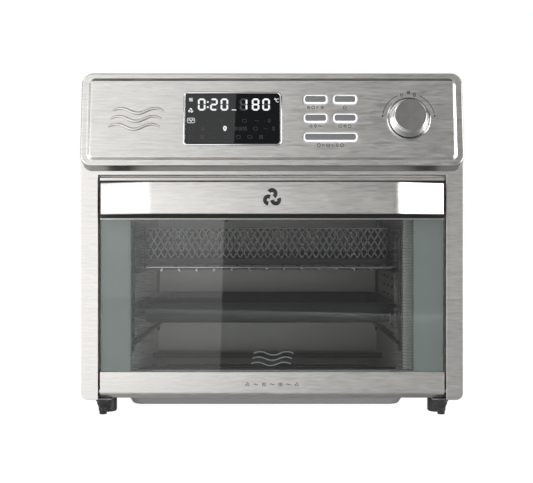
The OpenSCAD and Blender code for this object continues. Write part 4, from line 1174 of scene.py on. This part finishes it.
def press(node, low, high, corner, section, thickness, finish):
    """A pressed tray: its rounded outline carried down a section, shut by a flat floor, walled upwards."""
    rows = rounded_loops(*(high - low)[:2], corner, section)
    points = at_front(rows + (high + low) / 2 * [1, 1, 0])
    faces = quads(rows) + capped(rows)[-1:]
    walled(piece(node + "_pressed", points, faces, finish, node, [node]), thickness)


class OVEN_OT_back_screws(bpy.types.Operator):
    """Turns the domed back screws, each with a round driver recess"""

    bl_idname = "toaster_oven.back_screws"
    bl_label = "Back screws"

    def execute(self, context):
        low = front_box("back_screws")[0]
        profile = [(0, 0.9), (1.3, 0.9), (1.5, 1.9), (2.6, 1.6), (3.6, 0.9), (4.0, 0.3), (4.0, 0), (0, 0)]
        head = turned(profile, 32)
        parts = []
        for x, _, z in screw_middles("back_screws"):
            points = np.stack([head[..., 0] + x, head[..., 2] + low[1], head[..., 1] + z], -1)
            parts.append((points, quads(head)))
        points, faces = joined(parts)
        piece("back_screws_turned", at_front(points), faces, "zinc_plated_screw", stands_for=["back_screws"])
        return {"FINISHED"}


def screw_middles(node):
    """Middle of each screw in a group: the corners near each filled cell of a coarse grid give a box, and a
    screw that lies across two cells is kept once."""
    cell, near_by, same_screw = 20, 0.75, 6
    spots = (corners_of(node) - [0, FRONT_Y, 0]) / MM
    grid = spots[:, [0, 2]] / cell
    middles = []
    for filled in np.unique(np.round(grid), axis=0):
        near = spots[np.all(np.abs(grid - filled) < near_by, axis=1)]
        middle = (near.min(0) + near.max(0)) / 2
        if all(np.linalg.norm(middle - other) >= same_screw for other in middles):
            middles.append(middle)
    return middles


class OVEN_OT_studio(bpy.types.Operator):
    """Lays the pale floor and sets the soft lights and the camera"""

    bl_idname = "toaster_oven.studio"
    bl_label = "Studio"

    def execute(self, context):
        lay_floor()
        light_room()
        softbox("main_card", (-1.232, -2.15, 0.7), (2.2, 2.8), 18.5, slant=-1.6)
        softbox("left_card", (-1.7, -1.35, 0.35), (0.9, 1.4), 8.0)
        softbox("right_card", (1.9, -0.9, 0.35), (1.2, 1.4), 30.0)
        fill = softbox("low_fill", (0.4, -1.5, 0.1), (1.4, 0.18), 22.0)
        fill.visible_glossy = fill.visible_transmission = False
        camera = linked("camera", bpy.data.cameras.new("camera"))
        camera.location = (0, -1.2075, 0.187)
        camera.rotation_euler = (np.pi / 2, 0, 0)
        camera.data.lens, camera.data.sensor_width = 68.4, 36.0
        camera.data.shift_x, camera.data.shift_y = -0.0105, -0.0103
        context.scene.camera = camera
        context.scene.view_settings.view_transform = "Standard"
        return {"FINISHED"}


def lay_floor():
    """A pale floor: near white to the eye, dark in the oven's own reflections as a sweep is under a table."""
    side = 12.0
    mesh = bpy.data.meshes.new("floor")
    square = [(-side, -side, 0), (side, -side, 0), (side, side, 0), (-side, side, 0)]
    mesh.from_pydata(square, [], [(0, 1, 2, 3)])
    floor = linked("floor", mesh)
    made = bpy.data.materials.new("floor_sweep")
    tree = bare_tree(made)
    seen = add(tree, "LightPath").outputs["Is Camera Ray"]
    paper = add(tree, "BsdfDiffuse", {"Color": (0.22, 0.22, 0.22, 1)})
    glow = add(tree, "Emission", {"Color": (1, 1, 1, 1), "Strength": 0.97})
    pale = add(tree, "AddShader", {0: paper, 1: glow})
    mix = add(tree, "MixShader", {0: seen, 1: paper, 2: pale})
    add(tree, "OutputMaterial", {"Surface": mix})
    mesh.materials.append(made)
    floor.visible_glossy = False


def light_room():
    """White to the eye; for light, grey walls that fade from the left to the right, a dark band at the height
    of the softbox's top, bright upper walls, a dark zenith and a dim ground."""
    world = bpy.data.worlds.new("room")
    bpy.context.scene.world = world
    tree = bare_tree(world)
    split = add(tree, "SeparateXYZ", {0: add(tree, "TexCoord").outputs["Generated"]})
    side = add(tree, "MapRange", {0: split.outputs[0], 1: -0.5, 2: 0.36, 3: 0.82, 4: 0.31},
               interpolation_type="SMOOTHSTEP")
    steps = ((-0.62, -0.35, 0.6, 1.0), (0.12, 0.34, 1.0, 0.1), (0.48, 0.6, 0.0, 2.0), (0.68, 0.8, 1.0, 0.04))
    below, above, upper, zenith = (
        add(tree, "MapRange", {0: split.outputs[2], 1: start, 2: end, 3: before, 4: after})
        for start, end, before, after in steps)
    ceiling = add(tree, "Math", {0: upper, 1: zenith}, operation="MULTIPLY")
    walls = add(tree, "Math", {0: below, 1: above}, operation="MULTIPLY")
    height = add(tree, "Math", {0: walls, 1: ceiling}, operation="ADD")
    level = add(tree, "Math", {0: side, 1: height}, operation="MULTIPLY")
    light = add(tree, "Background", {"Color": (1, 1, 1, 1), "Strength": level})
    white = add(tree, "Background", {"Color": (1, 1, 1, 1), "Strength": 1.0})
    seen = add(tree, "LightPath").outputs["Is Camera Ray"]
    mix = add(tree, "MixShader", {0: seen, 1: light, 2: white})
    add(tree, "OutputWorld", {"Surface": mix})


def softbox(name, place, size, power, slant=0.0):
    """A rectangular soft light that faces the oven, or straight back and turned in its own plane by slant
    degrees."""
    data = bpy.data.lights.new(name, "AREA")
    data.shape = "RECTANGLE"
    data.size, data.size_y = size
    data.energy = power
    lamp = linked(name, data)
    toward = Vector((0, 1, 0)) if slant else Vector((0, -0.1, 0.25)) - Vector(place)
    turn = toward.to_track_quat("-Z", "Y").to_matrix().to_4x4()
    lamp.matrix_world = Matrix.Translation(place) @ turn @ Matrix.Rotation(np.radians(slant), 4, "Z")
    return lamp


OPERATORS = (
    OVEN_OT_carried_finishes,
    OVEN_OT_folded_sheet,
    OVEN_OT_control_fascia,
    OVEN_OT_display,
    OVEN_OT_buttons,
    OVEN_OT_knob,
    OVEN_OT_markings,
    OVEN_OT_door_handle,
    OVEN_OT_crisper_basket,
    OVEN_OT_pans,
    OVEN_OT_back_screws,
    OVEN_OT_studio,
)


class OVEN_PT_pieces(bpy.types.Panel):
    """Lists the oven's settings and the operators that build its pieces"""

    bl_idname = "OVEN_PT_pieces"
    bl_label = "Toaster Oven"
    bl_space_type = "VIEW_3D"
    bl_region_type = "UI"
    bl_category = "Toaster Oven"

    def draw(self, context):
        for group in (context.scene.oven_sizes, context.scene.oven_colours):
            box = self.layout.box()
            for name in group.__annotations__:
                box.prop(group, name)
        for operator in OPERATORS:
            self.layout.operator(operator.bl_idname)


CLASSES = (OvenSizes, OvenColours, *OPERATORS, OVEN_PT_pieces)


def register():
    for cls in CLASSES:
        bpy.utils.register_class(cls)
    bpy.types.Scene.oven_sizes = PointerProperty(type=OvenSizes)
    bpy.types.Scene.oven_colours = PointerProperty(type=OvenColours)


def unregister():
    del bpy.types.Scene.oven_colours
    del bpy.types.Scene.oven_sizes
    for cls in reversed(CLASSES):
        bpy.utils.unregister_class(cls)


def main():
    register()
    for operator in OPERATORS:
        group, name = operator.bl_idname.split(".")
        getattr(getattr(bpy.ops, group), name)()


if __name__ == "__main__":
    main()
